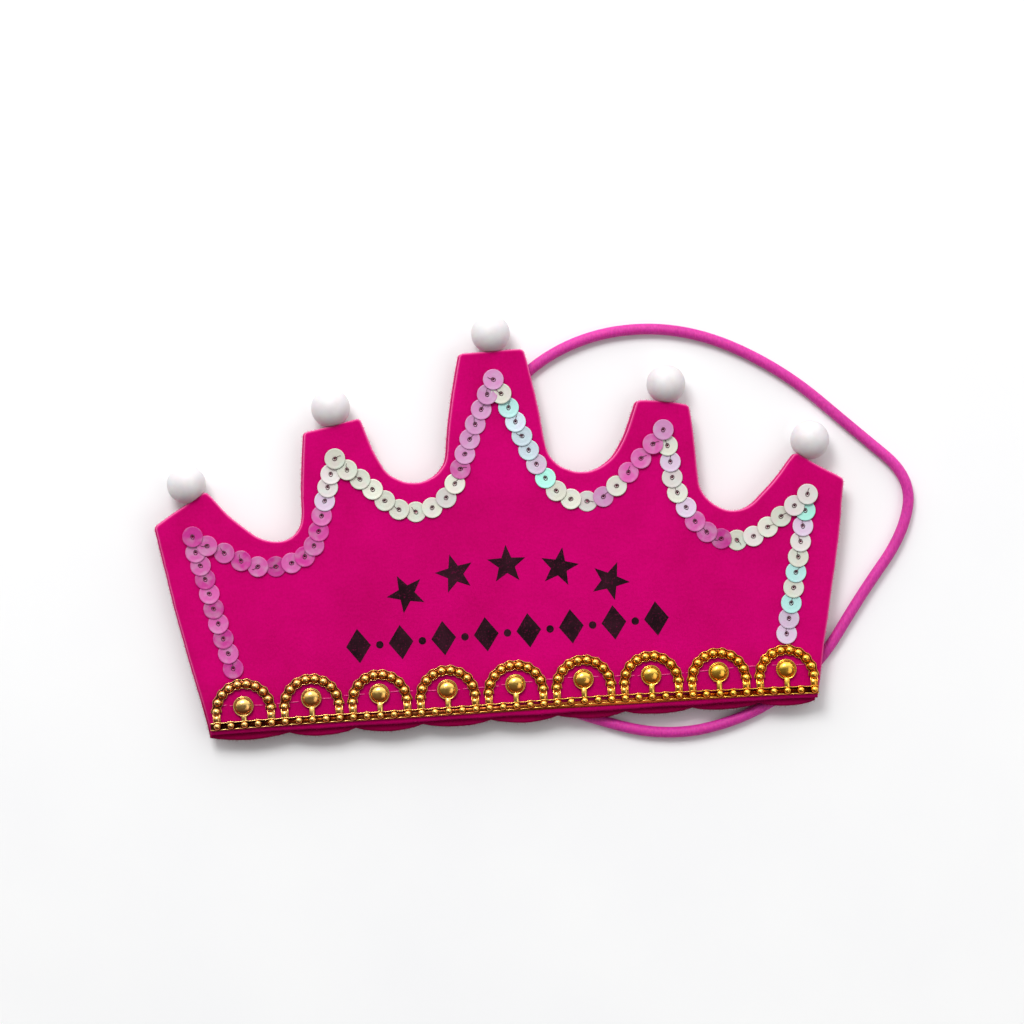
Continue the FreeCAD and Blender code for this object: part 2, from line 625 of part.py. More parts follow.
def climb_sequins(disc, spots, tops, own_peak):
    """Sequins on the spots of one climb; the last is the peak, which only one strand owns."""
    step = size("sequin_thickness") + size("sequin_clearance")
    laid_ones = [laid(disc, spot, heading) for spot, heading in spots[:-2]]
    beside, peak = spots[-2:]
    laid_ones.append(laid(disc, *beside, lift=0.0 if own_peak else step * BESIDE_LIFT))
    if own_peak:
        laid_ones.append(laid(disc, *peak, lift=step * tops, level=True))
    return laid_ones


# Where two strands meet, the second one's sequin and the peak lie higher by this many steps
BESIDE_LIFT = 1.2
PEAK_LIFT = 1.9


def right_strands():
    """The three strands right of the middle, each a list of sequins."""
    disc = sequin()
    outer_peak, mid_peak, centre_peak = strand_peaks()
    outer_arc, outer_radius = valleys()["outer"][2:]
    inner_arc, inner_radius = valleys()["inner"][2:]
    bottom = -shingle_slope() * size("sequin_diameter") / 2
    side = straight_climb(strand_start(outer_peak), outer_peak)
    strands = {"side": climb_sequins(disc, side, PEAK_LIFT, True)}
    for name, arc, radius, low_peak, high_peak in (("outer", outer_arc, outer_radius, outer_peak, mid_peak),
                                                   ("inner", inner_arc, inner_radius, mid_peak, centre_peak)):
        valley = laid(disc, (arc[0], arc[1] - radius), 0.0, lift=bottom, level=True)
        up_right = climb_sequins(disc, valley_climb(arc, radius, low_peak, 1), PEAK_LIFT, False)
        up_left = climb_sequins(disc, valley_climb(arc, radius, high_peak, -1), PEAK_LIFT, name == "outer")
        strands[name] = [valley] + up_right + up_left
    return strands, laid(disc, centre_peak, 0.0, lift=PEAK_LIFT * (size("sequin_thickness") + size("sequin_clearance")),
                         level=True)


def mirrored(solid):
    return solid.mirror(Vector(0, 0, 0), Vector(1, 0, 0))


def make_strands():
    """Six strands; the top sequin of the whole row belongs to the left inner one."""
    strands, top = right_strands()
    made = []
    for name, sequins in strands.items():
        for side in ("left", "right"):
            solids = [mirrored(one) for one in sequins] if side == "left" else list(sequins)
            if name == "inner" and side == "left":
                solids[-1].translate(Vector(0, 0, -size("sequin_thickness") - size("sequin_clearance")))
                solids.append(top)
            strand = doc.addObject("Part::Feature", "sequins_%s_%s" % (side, name))
            strand.Label = strand.Name
            strand.Shape = Part.makeCompound(solids)
            strand.Placement = Placement(Vector(0, -size("frame_offset"), 0), Rotation())
            made.append(strand)
    return made


# Elastic: a loose cord behind the crown, held to the back layer by a stay at each end
def rounded_path(points):
    """Straight runs joined by tangent arcs, each as large as its two runs allow, and the arcs' radii."""
    edges = []
    radii = []
    start = points[0]
    for before, corner, after in zip(points, points[1:], points[2:]):
        back = before - corner
        ahead = after - corner
        turn = math.pi - back.getAngle(ahead)
        cut = 0.45 * min(back.Length, ahead.Length)
        radius = cut / math.tan(turn / 2)
        back.normalize()
        ahead.normalize()
        inward = (back + ahead).normalize()
        middle = corner + inward * (radius / math.cos(turn / 2) - radius)
        edges.append(Part.LineSegment(start, corner + back * cut).toShape())
        edges.append(Part.Arc(corner + back * cut, middle, corner + ahead * cut).toShape())
        radii.append(radius)
        start = corner + ahead * cut
    edges.append(Part.LineSegment(start, points[-1]).toShape())
    return Part.Wire(edges), radii


def make_cord():
    points = [Vector(*point) for point in CORD_POINTS]
    path, radii = rounded_path(points)
    section = ring_of(CORD_SIDES, size("elastic_diameter") / 2, 0)
    section.Placement = Placement(points[0], Rotation(Vector(0, 0, 1), points[1] - points[0]))
    tube = path.makePipeShell([section], True, False)
    print("cord radii", " ".join("%.1f" % value for value in radii))
    print("cord length %.1f, volume %.0f, section times length %.0f"
          % (path.Length, tube.Volume, Part.Face(section).Area * path.Length))
    cord = doc.addObject("Part::Feature", "elastic_cord")
    cord.Label = "elastic_cord"
    cord.Shape = tube
    cord.Placement = Placement(Vector(0, -size("frame_offset"), 0), Rotation())
    return cord


def make_stay(name, end, inner):
    """A stitched stay over a cord end: a half sleeve with two flanges on the back layer."""
    heading = math.degrees(math.atan2(inner[1] - end[1], inner[0] - end[0]))
    body = doc.addObject("PartDesign::Body", name)
    body.Label = name
    sketch = new_sketch(body, name + "_section", plane="YZ_Plane")
    bore = "elastic_diameter / 2 + stay_clearance"
    hole = size("elastic_diameter") / 2 + size("stay_clearance")
    wall = hole + size("stay_wall")
    top = size("elastic_diameter") / 2
    foot = wall + size("stay_foot")
    low = top - size("stay_wall")
    turn = Vector(0, 0, 1)
    big = sketch.addGeometry(Part.ArcOfCircle(Part.Circle(Vector(), turn, wall), math.pi, 2 * math.pi), False)
    small = sketch.addGeometry(Part.ArcOfCircle(Part.Circle(Vector(), turn, hole), math.pi, 2 * math.pi), False)
    for way, arc_end in ((-1, 1), (1, 2)):
        corners = [(wall, 0), (wall, low), (foot, low), (foot, top), (hole, top), (hole, 0)]
        stops = [Vector(way * x, y, 0) for x, y in corners]
        up, out, tip, back, down = [sketch.addGeometry(Part.LineSegment(a, b), False)
                                    for a, b in zip(stops, stops[1:])]
        for one, one_end, two, two_end in ((big, arc_end, up, 1), (up, 2, out, 1), (out, 2, tip, 1),
                                           (tip, 2, back, 1), (back, 2, down, 1), (down, 2, small, arc_end)):
            sketch.addConstraint(Sketcher.Constraint("Coincident", one, one_end, two, two_end))
        for line, flat in ((up, "Vertical"), (out, "Horizontal"), (tip, "Vertical"),
                           (back, "Horizontal"), (down, "Vertical")):
            sketch.addConstraint(Sketcher.Constraint(flat, line))
        limit(sketch, "DistanceY", -1, 1, back, 1, rule="elastic_diameter / 2")
        limit(sketch, "DistanceY", out, 1, back, 1, rule="stay_wall")
        first, last = (out, 1), (out, 2)
        if way < 0:
            first, last = last, first
        limit(sketch, "DistanceX", *first, *last, rule="stay_foot")
    for arc, rule in ((small, bore), (big, bore + " + stay_wall")):
        sketch.addConstraint(Sketcher.Constraint("Coincident", arc, 3, -1, 1))
        sketch.addConstraint(Sketcher.Constraint("PointOnObject", arc, 1, -1))
        sketch.addConstraint(Sketcher.Constraint("PointOnObject", arc, 2, -1))
        limit(sketch, "Radius", arc, rule=rule)
    feature = pad(body, sketch, name + "_pad", "stay_length")
    body.Placement = Placement(Vector(), Rotation(Vector(0, 0, 1), heading))
    along = ("cos(%s)" % heading, "sin(%s)" % heading)
    bind(body, "Placement.Base.x", "%s + elastic_tail * %s" % (end[0], along[0]))
    bind(body, "Placement.Base.y", "%s + elastic_tail * %s - frame_offset" % (end[1], along[1]))
    bind(body, "Placement.Base.z", "cord_height")
    return body


def make_elastic():
    return [
        make_cord(),
        make_stay("elastic_stay_left", CORD_POINTS[0], CORD_POINTS[1]),
        make_stay("elastic_stay_right", CORD_POINTS[-1], CORD_POINTS[-2]),
    ]


def check(nodes):
    """Stops on a failed feature, or on a shape that is empty or not valid."""
    for thing in doc.Objects:
        if {"Invalid", "Error"} & set(thing.State):
            raise RuntimeError("%s failed: %s" % (thing.Name, thing.State))
    for node in nodes:
        if node.Shape.isNull() or not node.Shape.isValid():
            raise RuntimeError("%s has no valid shape" % node.Label)


def main():
    fill_sheet()
    panels = make_panels()
    nodes = list(panels)
    nodes.append(make_trim())
    nodes += make_balls(panels)
    nodes += make_strands()
    nodes += make_elastic()
    doc.recompute()
    check(nodes)
    os.makedirs("parts", exist_ok=True)
    for node in nodes:
        node.Shape.exportStep("parts/%s.step" % node.Label)
        box = node.Shape.BoundBox
        print("%-22s %2d solids  x %.2f to %.2f  y %.2f to %.2f  z %.2f to %.2f  volume %.1f"
              % (node.Label, len(node.Shape.Solids), box.XMin, box.XMax, box.YMin, box.YMax,
                 box.ZMin, box.ZMax, node.Shape.Volume))


main()
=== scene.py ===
import math
import random

import bmesh
import bpy
from mathutils import Matrix, Vector, noise


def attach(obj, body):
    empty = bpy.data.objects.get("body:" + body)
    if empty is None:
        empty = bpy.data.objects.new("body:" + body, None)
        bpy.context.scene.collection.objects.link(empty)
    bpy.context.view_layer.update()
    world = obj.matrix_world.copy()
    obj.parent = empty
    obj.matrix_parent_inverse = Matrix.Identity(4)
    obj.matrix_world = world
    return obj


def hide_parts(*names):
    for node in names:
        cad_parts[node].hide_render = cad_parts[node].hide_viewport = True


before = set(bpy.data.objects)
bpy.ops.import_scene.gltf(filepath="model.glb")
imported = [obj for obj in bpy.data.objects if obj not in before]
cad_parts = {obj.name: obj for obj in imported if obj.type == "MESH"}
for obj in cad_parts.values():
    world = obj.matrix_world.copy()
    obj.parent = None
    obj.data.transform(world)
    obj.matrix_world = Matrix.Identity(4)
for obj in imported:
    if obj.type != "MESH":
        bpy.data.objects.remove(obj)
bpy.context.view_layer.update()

# A felt party crown that lies on its back. Its own measures are in millimetres,
# with x from its middle and y up from its base; at() turns them into the frame's metres.
MM = 0.001

# How far the frame's origin lies above the crown's base, and the heights of the felt's faces
FRAME_OFFSET = 57.275
BACK_Z = 3.85
SEAM_Z = 5.65
FACE_Z = 7.45

# Corners of the right half, from the base to the centre point, and the valleys between the points
CORNERS = [(88.2, 0), (100.05, 61.0), (87.0, 69.9), (55.5, 86.1), (40.5, 88.5), (9.3, 106.1)]
OUTER_VALLEY = ((67.6, 65.0), 9.5)
INNER_VALLEY = ((25.0, 79.1), 9.8)
TIP_ROUNDING = 1.4
CORNER_STEPS = 6
VALLEY_STEPS = 22

# The back layer: where it lies against the front one, and the scallops of its lower edge
BACK_SLIP = (-0.6, -0.1)
HEM_SCALLOPS = 9
HEM_STEPS = 8
HEM_SHIFT = 3.4
HEM_DROP = 0.7
HEM_SWELL = 1.4

# The net in which the felt is cut, and its fibres: how many on a millimetre of edge, and their radius
NET_PITCH = 2.5
NET_START = 0.03
FUZZ_DENSITY = 4.5
FIBRE_RADIUS = 0.028

# Balls: the felt goes in by BITE less LIFT, and the outer ones sit SHIFT from their point's inner corner
BALL_RADIUS = 5.65
BALL_BITE = 0.75
BALL_SHIFT = 1.6
BALL_LIFT = 0.25
NOTCH_ROOM = 0.25
BALL_SLIPS = {"left_outer": (-1.3, -0.8), "left_middle": (0.9, 0.4)}

# Gold trim: one arch to a scallop, over a chain with five beads to a scallop
SCALLOPS = 9
SCALLOP_PITCH = 19.78
CHAIN_PITCH = SCALLOP_PITCH / 5
CHAIN_RISE = 2.7
TRIM_SLANT = 0.0067
ARCH_RISE = 3.9
ARCH_RADIUS = 2 * CHAIN_PITCH
ARCH_BEADS = 10
ARCH_SWEEP = math.radians(174)
DOME_RISE = 6.2
FIRST_DOME_DROP = 0.9
TRIM_SLIP = (0.85, 0.28)
TRIM_START = -SCALLOPS * SCALLOP_PITCH / 2
TRIM_END = -TRIM_START - 0.8
TRIM_TOP = 2.3
SKIRT_DEPTH = 0.12
SKIRT_HEIGHT = 0.5

# Where the trim starts to bend down, over what length, how far, and how much each millimetre shrinks
BEND_START = 20.0
BEND_LENGTH = 68.0
BEND_DROP = 1.35
BEND_SHRINK = 0.008

# Half width and height of the trim's strips
LEG_STRIP = (1.0, 0.85)
LEG_RIM = (0.16, 1.05)
ARCH_STRIP = (1.15, 0.5)
ARCH_RIM = (0.13, 0.92)
STEM_STRIP = (0.85, 1.1)
CHAIN_STRIP = (0.95, 0.4)
CHAIN_RAIL = (0.17, 1.1)

# Sequins, and how far their strands lie inside the felt's edge
SEQUIN_RADIUS = 3.0
SEQUIN_FLOAT = 0.145
SEQUIN_SPACING = 4.62
SEQUIN_STEP = 0.35
BESIDE_LIFT = SEQUIN_STEP * 1.2
TOP_LIFT = SEQUIN_STEP * 1.9
STRAND_INSET = 8.3
STRAND_MARGIN = 11.6

# Elastic: the height of its middle on the floor and at its ends, and its path
CORD_RADIUS = 1.6
CORD_LOW = CORD_RADIUS
CORD_END = 2.25
CORD_POINTS = [
    (-76, 8, CORD_END), (-52, 13, CORD_END), (-27, 15, CORD_LOW), (-3, 10, CORD_LOW),
    (18, -1, CORD_LOW), (44, -9.5, CORD_LOW), (69, -5, CORD_LOW), (89, 8, CORD_LOW),
    (103, 28.5, CORD_LOW), (117, 46, CORD_LOW), (120, 62, CORD_LOW), (105, 76, CORD_LOW),
    (84, 96, CORD_LOW), (58, 109.5, CORD_LOW), (31, 110.5, CORD_LOW), (8, 100, CORD_LOW),
    (-6, 80, CORD_LOW), (-5, 57, CORD_LOW), (11, 38, CORD_LOW), (34, 24, CORD_LOW),
    (54, 16, CORD_END), (74, 9, CORD_END),
]

# Where the felt leaves its even shape: place, reach and shift
BENDS = [
    ((-87.0, 70.5), 6.0, (1.8, 0.7)), ((-100.5, 62.0), 6.0, (-0.4, 0.3)),
    ((-67.0, 55.0), 8.0, (2.7, -1.0)), ((-86.0, 40.0), 13.0, (-1.1, 0.0)),
    ((-88.0, 56.0), 5.0, (-1.0, -1.1)), ((-65.0, 44.0), 6.5, (0.0, 1.6)),
    ((47.5, 83.0), 9.0, (1.2, 1.2)), ((51.5, 63.5), 4.5, (-1.5, 0.0)),
    ((87.0, 71.5), 6.0, (-0.6, 1.4)), ((100.5, 62.0), 6.0, (-0.2, 1.5)),
    ((-47.0, 77.0), 6.0, (-0.7, -1.5)), ((-40.5, 88.5), 5.0, (1.0, 0.5)),
    ((-14.0, 69.0), 7.0, (1.1, 0.0)), ((14.0, 76.0), 8.0, (-1.3, 0.0)),
    ((39.0, 77.0), 6.0, (1.1, 0.0)),
]

# Both sources of chance have a fixed seed, so that each run gives the same crown
chance = random.Random(11)
noise.seed_set(11)


def at(x, y, z=0.0):
    """A place on the crown in the frame's metres."""
    return Vector((x, y - FRAME_OFFSET, z)) * MM


def rgb(red, green, blue):
    """A colour as seen on a screen, from 0 to 255, in the shader's linear values."""
    values = [part / 255 for part in (red, green, blue)]
    return tuple(v / 12.92 if v <= 0.04045 else ((v + 0.055) / 1.055) ** 2.4 for v in values) + (1.0,)


def blended(one, two, share):
    return tuple(a + (b - a) * share for a, b in zip(one, two))


# Shader nodes
class Wire:
    """A value that varies over a surface. Sums with it add Math nodes."""

    def __init__(self, finish, socket):
        self.finish = finish
        self.socket = socket

    def sum(self, operation, one, two):
        return self.finish.add("ShaderNodeMath", {"operation": operation}, {0: one, 1: two})

    def __add__(self, other):
        return self.sum("ADD", self, other)

    def __sub__(self, other):
        return self.sum("SUBTRACT", self, other)

    def __rsub__(self, other):
        return self.sum("SUBTRACT", other, self)

    def __mul__(self, other):
        return self.sum("MULTIPLY", self, other)


class Finish:
    """A material, or the light around the scene, and the nodes that make it."""

    def __init__(self, name, kind="materials", shader="Principled BSDF"):
        self.data = getattr(bpy.data, kind).new(name)
        self.data.use_nodes = True
        self.tree = self.data.node_tree
        self.shader = self.tree.nodes[shader]

    def feed(self, socket, value):
        if isinstance(value, Wire):
            self.tree.links.new(value.socket, socket)
        else:
            socket.default_value = value

    def add(self, kind, settings, inputs, out=0):
        """A node of a kind, with its settings, the values or wires of its sockets, and its output."""
        node = self.tree.nodes.new(kind)
        for key, value in settings.items():
            setattr(node, key, value)
        for key, value in inputs.items():
            self.feed(node.inputs[key], value)
        return Wire(self, node.outputs[out])

    def place(self, stretch, turn):
        """The place on the object, stretched and turned in the plane of the crown."""
        place = self.add("ShaderNodeTexCoord", {}, {}, out="Object")
        return self.add("ShaderNodeMapping", {}, {
            "Vector": place, "Scale": stretch, "Rotation": (0, 0, turn)})

    def grain(self, size_mm, stretch=(1.0, 1.0, 1.0), turn=0.0, detail=3.0):
        """Noise with grains of about the given size, from 0 to 1."""
        return self.add("ShaderNodeTexNoise", {}, {
            "Vector": self.place(stretch, turn), "Scale": 1 / (size_mm * MM), "Detail": detail})

    def steps(self, value, low, high):
        """The value brought from low..high to 0..1, held at both ends."""
        return self.add("ShaderNodeMapRange", {"clamp": True}, {
            "Value": value, "From Min": low, "From Max": high})

    def mix(self, share, one, two):
        """Between two colours."""
        return self.add("ShaderNodeMix", {"data_type": "RGBA"}, {0: share, 6: one, 7: two}, out=2)

    def slope(self, name="Z"):
        """How far the surface faces up, or along another axis, from -1 to 1."""
        normal = self.add("ShaderNodeNewGeometry", {}, {}, out="Normal")
        return self.add("ShaderNodeSeparateXYZ", {}, {"Vector": normal}, out=name)

    def axis(self, name):
        """One coordinate of the place, in millimetres."""
        place = self.add("ShaderNodeTexCoord", {}, {}, out="Object")
        return self.add("ShaderNodeSeparateXYZ", {}, {"Vector": place}, out=name) * (1 / MM)

    def bump(self, height, depth_mm, strength):
        return self.add("ShaderNodeBump", {}, {
            "Height": height, "Distance": depth_mm * MM, "Strength": strength})

    def surface(self, **values):
        """Sets the shader's sockets, named in lower case with underscores."""
        for key, value in values.items():
            name = key.replace("_", " ").title().replace("Ior", "IOR")
            self.feed(self.shader.inputs[name], value)
        return self.data


# How far up from its base the felt is darkened by painted shade
HEM_SHADE = 17.0


# The edge colour is the painted highlight on the felt's rounded rims; it also tints the sheen.
def felt_finish(name, light, dark, edge):
    """Pressed felt: cloudy, with matted fibres in two directions, a painted highlight along its rounded rims
    and painted shade towards its hem.
    """
    felt = Finish(name)
    clouds = felt.steps(felt.grain(14.0, detail=4.0), 0.3, 0.7)
    matted = felt.steps(felt.grain(0.9, detail=5.0), 0.3, 0.72)
    one_way = felt.steps(felt.grain(0.35, (1.0, 0.16, 1.0), 0.5), 0.35, 0.7)
    other_way = felt.steps(felt.grain(0.35, (1.0, 0.16, 1.0), 2.2), 0.35, 0.7)
    fibres = one_way * 0.5 + other_way * 0.5
    # Painted shade: within HEM_SHADE of the base the felt turns towards its dark colour.
    clear_of_hem_shade = felt.steps(felt.axis("Y"), -FRAME_OFFSET, -FRAME_OFFSET + HEM_SHADE)
    lightness = clouds * 0.35 + matted * 0.2 + fibres * 0.15 + clear_of_hem_shade * 0.35 - 0.05
    body = felt.mix(lightness, dark, light)
    # Painted highlight: the rounded rims turn towards the pale edge colour, less on the steepest part and
    # fading near the hem.
    steep = 1.0 - felt.slope()
    painted_rim_highlight = felt.steps(steep, 0.03, 0.4) - felt.steps(steep, 0.6, 1.0) * 0.7
    colour = felt.mix(painted_rim_highlight * clear_of_hem_shade * 0.75, body, edge)
    height = matted * 0.6 + fibres * 0.4
    return felt.surface(
        base_color=colour, roughness=0.95, specular_ior_level=0.05,
        sheen_weight=0.05, sheen_roughness=0.5, sheen_tint=edge,
        normal=felt.bump(height, 0.14, 0.6))


def ink_finish():
    """Print on felt: dark, a little worn, with the felt's grain in it."""
    ink = Finish("printed_ink")
    worn = ink.steps(ink.grain(0.5, detail=5.0), 0.56, 0.74)
    cloudy = ink.steps(ink.grain(5.0), 0.35, 0.7)
    base = ink.mix(cloudy, rgb(30, 13, 20), rgb(52, 22, 34))
    colour = ink.mix(worn * 0.45, base, rgb(130, 8, 72))
    return ink.surface(
        base_color=colour, roughness=0.9, specular_ior_level=0.05,
        normal=ink.bump(ink.grain(0.6, detail=5.0), 0.12, 0.7))


def gold_finish():
    """Metallised plastic: browner on the left, with painted shade and a painted reflection of the pink felt
    in its low places, and a painted highlight on the sides that face +Y.
    """
    gold = Finish("gold_plating")
    across = gold.steps(gold.axis("X"), -90.0, 60.0)
    blotches = gold.steps(gold.grain(0.9), 0.35, 0.68)
    height = gold.add("ShaderNodeVertexColor", {"layer_name": "height"}, {})
    # Painted light: the high colour is a painted highlight on the sides that face +Y, the other side colour
    # is painted shade, and the low colour is painted shade with a painted reflection of the pink felt in the
    # trim's low places.
    high = gold.mix(across, rgb(250, 210, 128), rgb(255, 210, 84))
    low = gold.mix(across, rgb(120, 40, 26), rgb(166, 66, 20))
    painted_shaded_side = gold.mix(across, rgb(188, 98, 52), rgb(224, 128, 34))
    raised_with_painted_highlight = gold.mix(gold.steps(gold.slope("Y"), -0.4, 0.12), painted_shaded_side, high)
    colour = gold.mix(gold.steps(height, 0.24, 0.4) * 0.85 + blotches * 0.15, low, raised_with_painted_highlight)
    rough = blotches * 0.1 + 0.15
    return gold.surface(
        base_color=colour, metallic=0.95, roughness=rough,
        normal=gold.bump(gold.grain(0.45), 0.05, 0.6))


def ball_finish():
    """Frosted white plastic with a faint orange-peel skin."""
    ball = Finish("frosted_ball")
    clouds = ball.steps(ball.grain(3.0), 0.3, 0.7)
    return ball.surface(
        base_color=ball.mix(clouds, rgb(214, 210, 212), rgb(222, 219, 220)),
        roughness=clouds * 0.1 + 0.45, subsurface_weight=0.3, subsurface_scale=0.003,
        normal=ball.bump(ball.grain(0.7), 0.05, 0.4))


def sequin_finish():
    """Pearl film: each sequin's own tint with soft rainbow patches; pink ones let the felt through."""
    film = Finish("sequin_film")
    tint = film.add("ShaderNodeVertexColor", {"layer_name": "tint"}, {})
    patches = film.steps(film.grain(2.6, detail=1.0), 0.45, 0.7)
    other = film.steps(film.grain(3.4, turn=1.1, detail=1.0), 0.5, 0.74)
    minty = film.mix(patches * 0.16, tint, rgb(168, 232, 214))
    colour = film.mix(other * 0.16, minty, rgb(226, 166, 214))
    opaque = film.add("ShaderNodeVertexColor", {"layer_name": "tint"}, {}, out="Alpha")
    return film.surface(
        base_color=colour, metallic=0.05, roughness=patches * 0.12 + 0.34, alpha=opaque,
        coat_weight=0.3, coat_roughness=0.2, specular_ior_level=0.5,
        normal=film.bump(film.grain(1.2), 0.03, 0.4))


def thread_finish(name, light, dark):
    """Twisted sewing thread."""
    thread = Finish(name)
    twist = thread.steps(thread.grain(0.3, (1.0, 0.4, 1.0), 0.8), 0.35, 0.65)
    return thread.surface(
        base_color=thread.mix(twist, dark, light), roughness=0.7,
        normal=thread.bump(twist, 0.05, 0.6))


def elastic_finish():
    """Knitted cover over soft rubber."""
    elastic = Finish("elastic_cover")
    one_way = elastic.steps(elastic.grain(0.5, (1.0, 0.45, 1.0), 0.7), 0.35, 0.65)
    other_way = elastic.steps(elastic.grain(0.5, (1.0, 0.45, 1.0), 2.3), 0.35, 0.65)
    knit = one_way * 0.5 + other_way * 0.5
    clouds = elastic.steps(elastic.grain(22.0), 0.35, 0.65)
    body = elastic.mix(knit * 0.6 + clouds * 0.4, rgb(184, 8, 132), rgb(224, 52, 168))
    return elastic.surface(
        base_color=body, roughness=0.6, subsurface_weight=0.2, subsurface_scale=0.001,
        sheen_weight=0.12, sheen_tint=rgb(255, 150, 215), normal=elastic.bump(knit, 0.12, 0.6))


def floor_finish():
    floor = Finish("pale_floor")
    clouds = floor.steps(floor.grain(60.0), 0.3, 0.7)
    return floor.surface(base_color=floor.mix(clouds, rgb(243, 243, 244), rgb(246, 246, 246)), roughness=0.8)


# Each felt's last colour is its painted rim highlight. The back felt is the front's felt painted darker as
# shade under and behind the front layer, with a dimmer painted rim highlight.
FELT = felt_finish("front_felt", rgb(206, 0, 112), rgb(164, 0, 76), rgb(255, 118, 184))
SHADED_BACK_FELT = felt_finish("shaded_back_felt", rgb(176, 0, 84), rgb(128, 0, 52), rgb(226, 70, 140))
INK = ink_finish()
GOLD = gold_finish()
FROSTED = ball_finish()
FILM = sequin_finish()
DARK_THREAD = thread_finish("dark_thread", rgb(104, 46, 66), rgb(56, 20, 34))
PINK_THREAD = thread_finish("pink_thread", rgb(244, 92, 160), rgb(206, 30, 112))
ELASTIC = elastic_finish()


# Objects and their skins
def put(name, data):
    """An object with the data, in the scene."""
    thing = bpy.data.objects.new(name, data)
    bpy.context.collection.objects.link(thing)
    return thing


def piece(name, shape, material, smooth=True):
    """Makes an object of a bmesh and sets it on the crown."""
    bmesh.ops.recalc_face_normals(shape, faces=shape.faces[:])
    mesh = bpy.data.meshes.new(name)
    shape.to_mesh(mesh)
    shape.free()
    for polygon in mesh.polygons:
        polygon.use_smooth = smooth
    mesh.materials.append(material)
    thing = put(name, mesh)
    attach(thing, "root")
    return thing


def join_rings(shape, rings):
    """Faces between each ring of vertices and the next one."""
    for lower, upper in zip(rings, rings[1:]):
        for number in range(len(lower)):
            shape.faces.new((lower[number - 1], lower[number], upper[number], upper[number - 1]))


def skin(shape, rings):
    """A closed skin over rings of vertices."""
    join_rings(shape, rings)
    shape.faces.new(rings[-1])
    shape.faces.new(rings[0][::-1])


# Camera and cord
def aim_camera():
    """Straight down on the crown, which lies a little turned in the picture."""
    view_width = 0.297
    distance = 0.9
    data = bpy.data.cameras.new("camera")
    data.sensor_width = 36.0
    data.lens = data.sensor_width * distance / view_width
    camera = put("camera", data)
    camera.location = (0.0030, 0.00185, distance + FACE_Z * MM)
    camera.rotation_euler = (0, 0, math.radians(-3.6))
    bpy.context.scene.camera = camera


def lay_cord():
    """The loose elastic behind the crown, on one smooth curve."""
    data = bpy.data.curves.new("elastic_loop", "CURVE")
    data.dimensions = "3D"
    spline = data.splines.new("NURBS")
    spline.points.add(len(CORD_POINTS) - 1)
    for point, (x, y, z) in zip(spline.points, CORD_POINTS):
        point.co = (*at(x, y, z), 1.0)
    spline.order_u = 3
    spline.use_endpoint_u = True
    spline.resolution_u = 10
    data.bevel_depth = CORD_RADIUS * MM
    data.bevel_resolution = 5
    data.use_fill_caps = True
    data.materials.append(ELASTIC)
    cord = put("elastic_loop", data)
    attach(cord, "root")
    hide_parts("elastic_cord")
    at(*CORD_POINTS[0])


aim_camera()
lay_cord()


# Felt
def felt_rise(x, y):
    """How far the front felt's face lies above FACE_Z; in most places it is lower."""
    wide = noise.noise(Vector((x / 26, y / 26, 3.1)))
    near = noise.noise(Vector((x / 7, y / 7, 8.4)))
    return -0.22 + 0.3 * min(0.7, max(-0.9, wide)) + 0.05 * near


def bent(x, y):
    """How far the felt lies from its even place."""
    shift = Vector((0.0, 0.0, 0.0))
    for (across, up), reach, (right, ahead) in BENDS:
        near = math.exp(-((x - across) ** 2 + (y - up) ** 2) / (2 * reach ** 2))
        shift += Vector((right, ahead, 0.0)) * near
    return shift


def tangent_point(corner, centre, radius, side):
    """Where a line from the corner touches a circle, on its left (1) or right (-1) from the centre."""
    reach = math.dist(corner, centre)
    angle = math.atan2(corner[1] - centre[1], corner[0] - centre[0])
    angle += side * math.acos(radius / reach)
    return centre[0] + radius * math.cos(angle), centre[1] + radius * math.sin(angle)


def arc(centre, radius, start, end, steps):
    """Spots on a circle's arc, the way that its angles run."""
    return [(centre[0] + radius * math.cos(start + (end - start) * n / steps),
             centre[1] + radius * math.sin(start + (end - start) * n / steps)) for n in range(steps + 1)]


def rounded_corner(before, corner, after, radius):
    """Spots around a corner that is rounded by an arc."""
    back = (Vector(before) - Vector(corner)).normalized()
    ahead = (Vector(after) - Vector(corner)).normalized()
    half = back.angle(ahead) / 2
    centre = Vector(corner) + (back + ahead).normalized() * radius / math.sin(half)
    start = Vector(corner) + back * radius / math.tan(half) - centre
    turn = start.angle_signed(Vector(corner) + ahead * radius / math.tan(half) - centre)
    first = math.atan2(start.y, start.x)
    return arc(centre, radius, first, first - turn, CORNER_STEPS)


def valley_arc(low_corner, high_corner, valley):
    """Spots along the bottom of a valley between two corners, from right to left."""
    centre, radius = valley
    start = tangent_point(low_corner, centre, radius, -1)
    end = tangent_point(high_corner, centre, radius, 1)
    first = math.atan2(start[1] - centre[1], start[0] - centre[0])
    last = math.atan2(end[1] - centre[1], end[0] - centre[0])
    return arc(centre, radius, first, last - 2 * math.pi if last > first else last, VALLEY_STEPS)


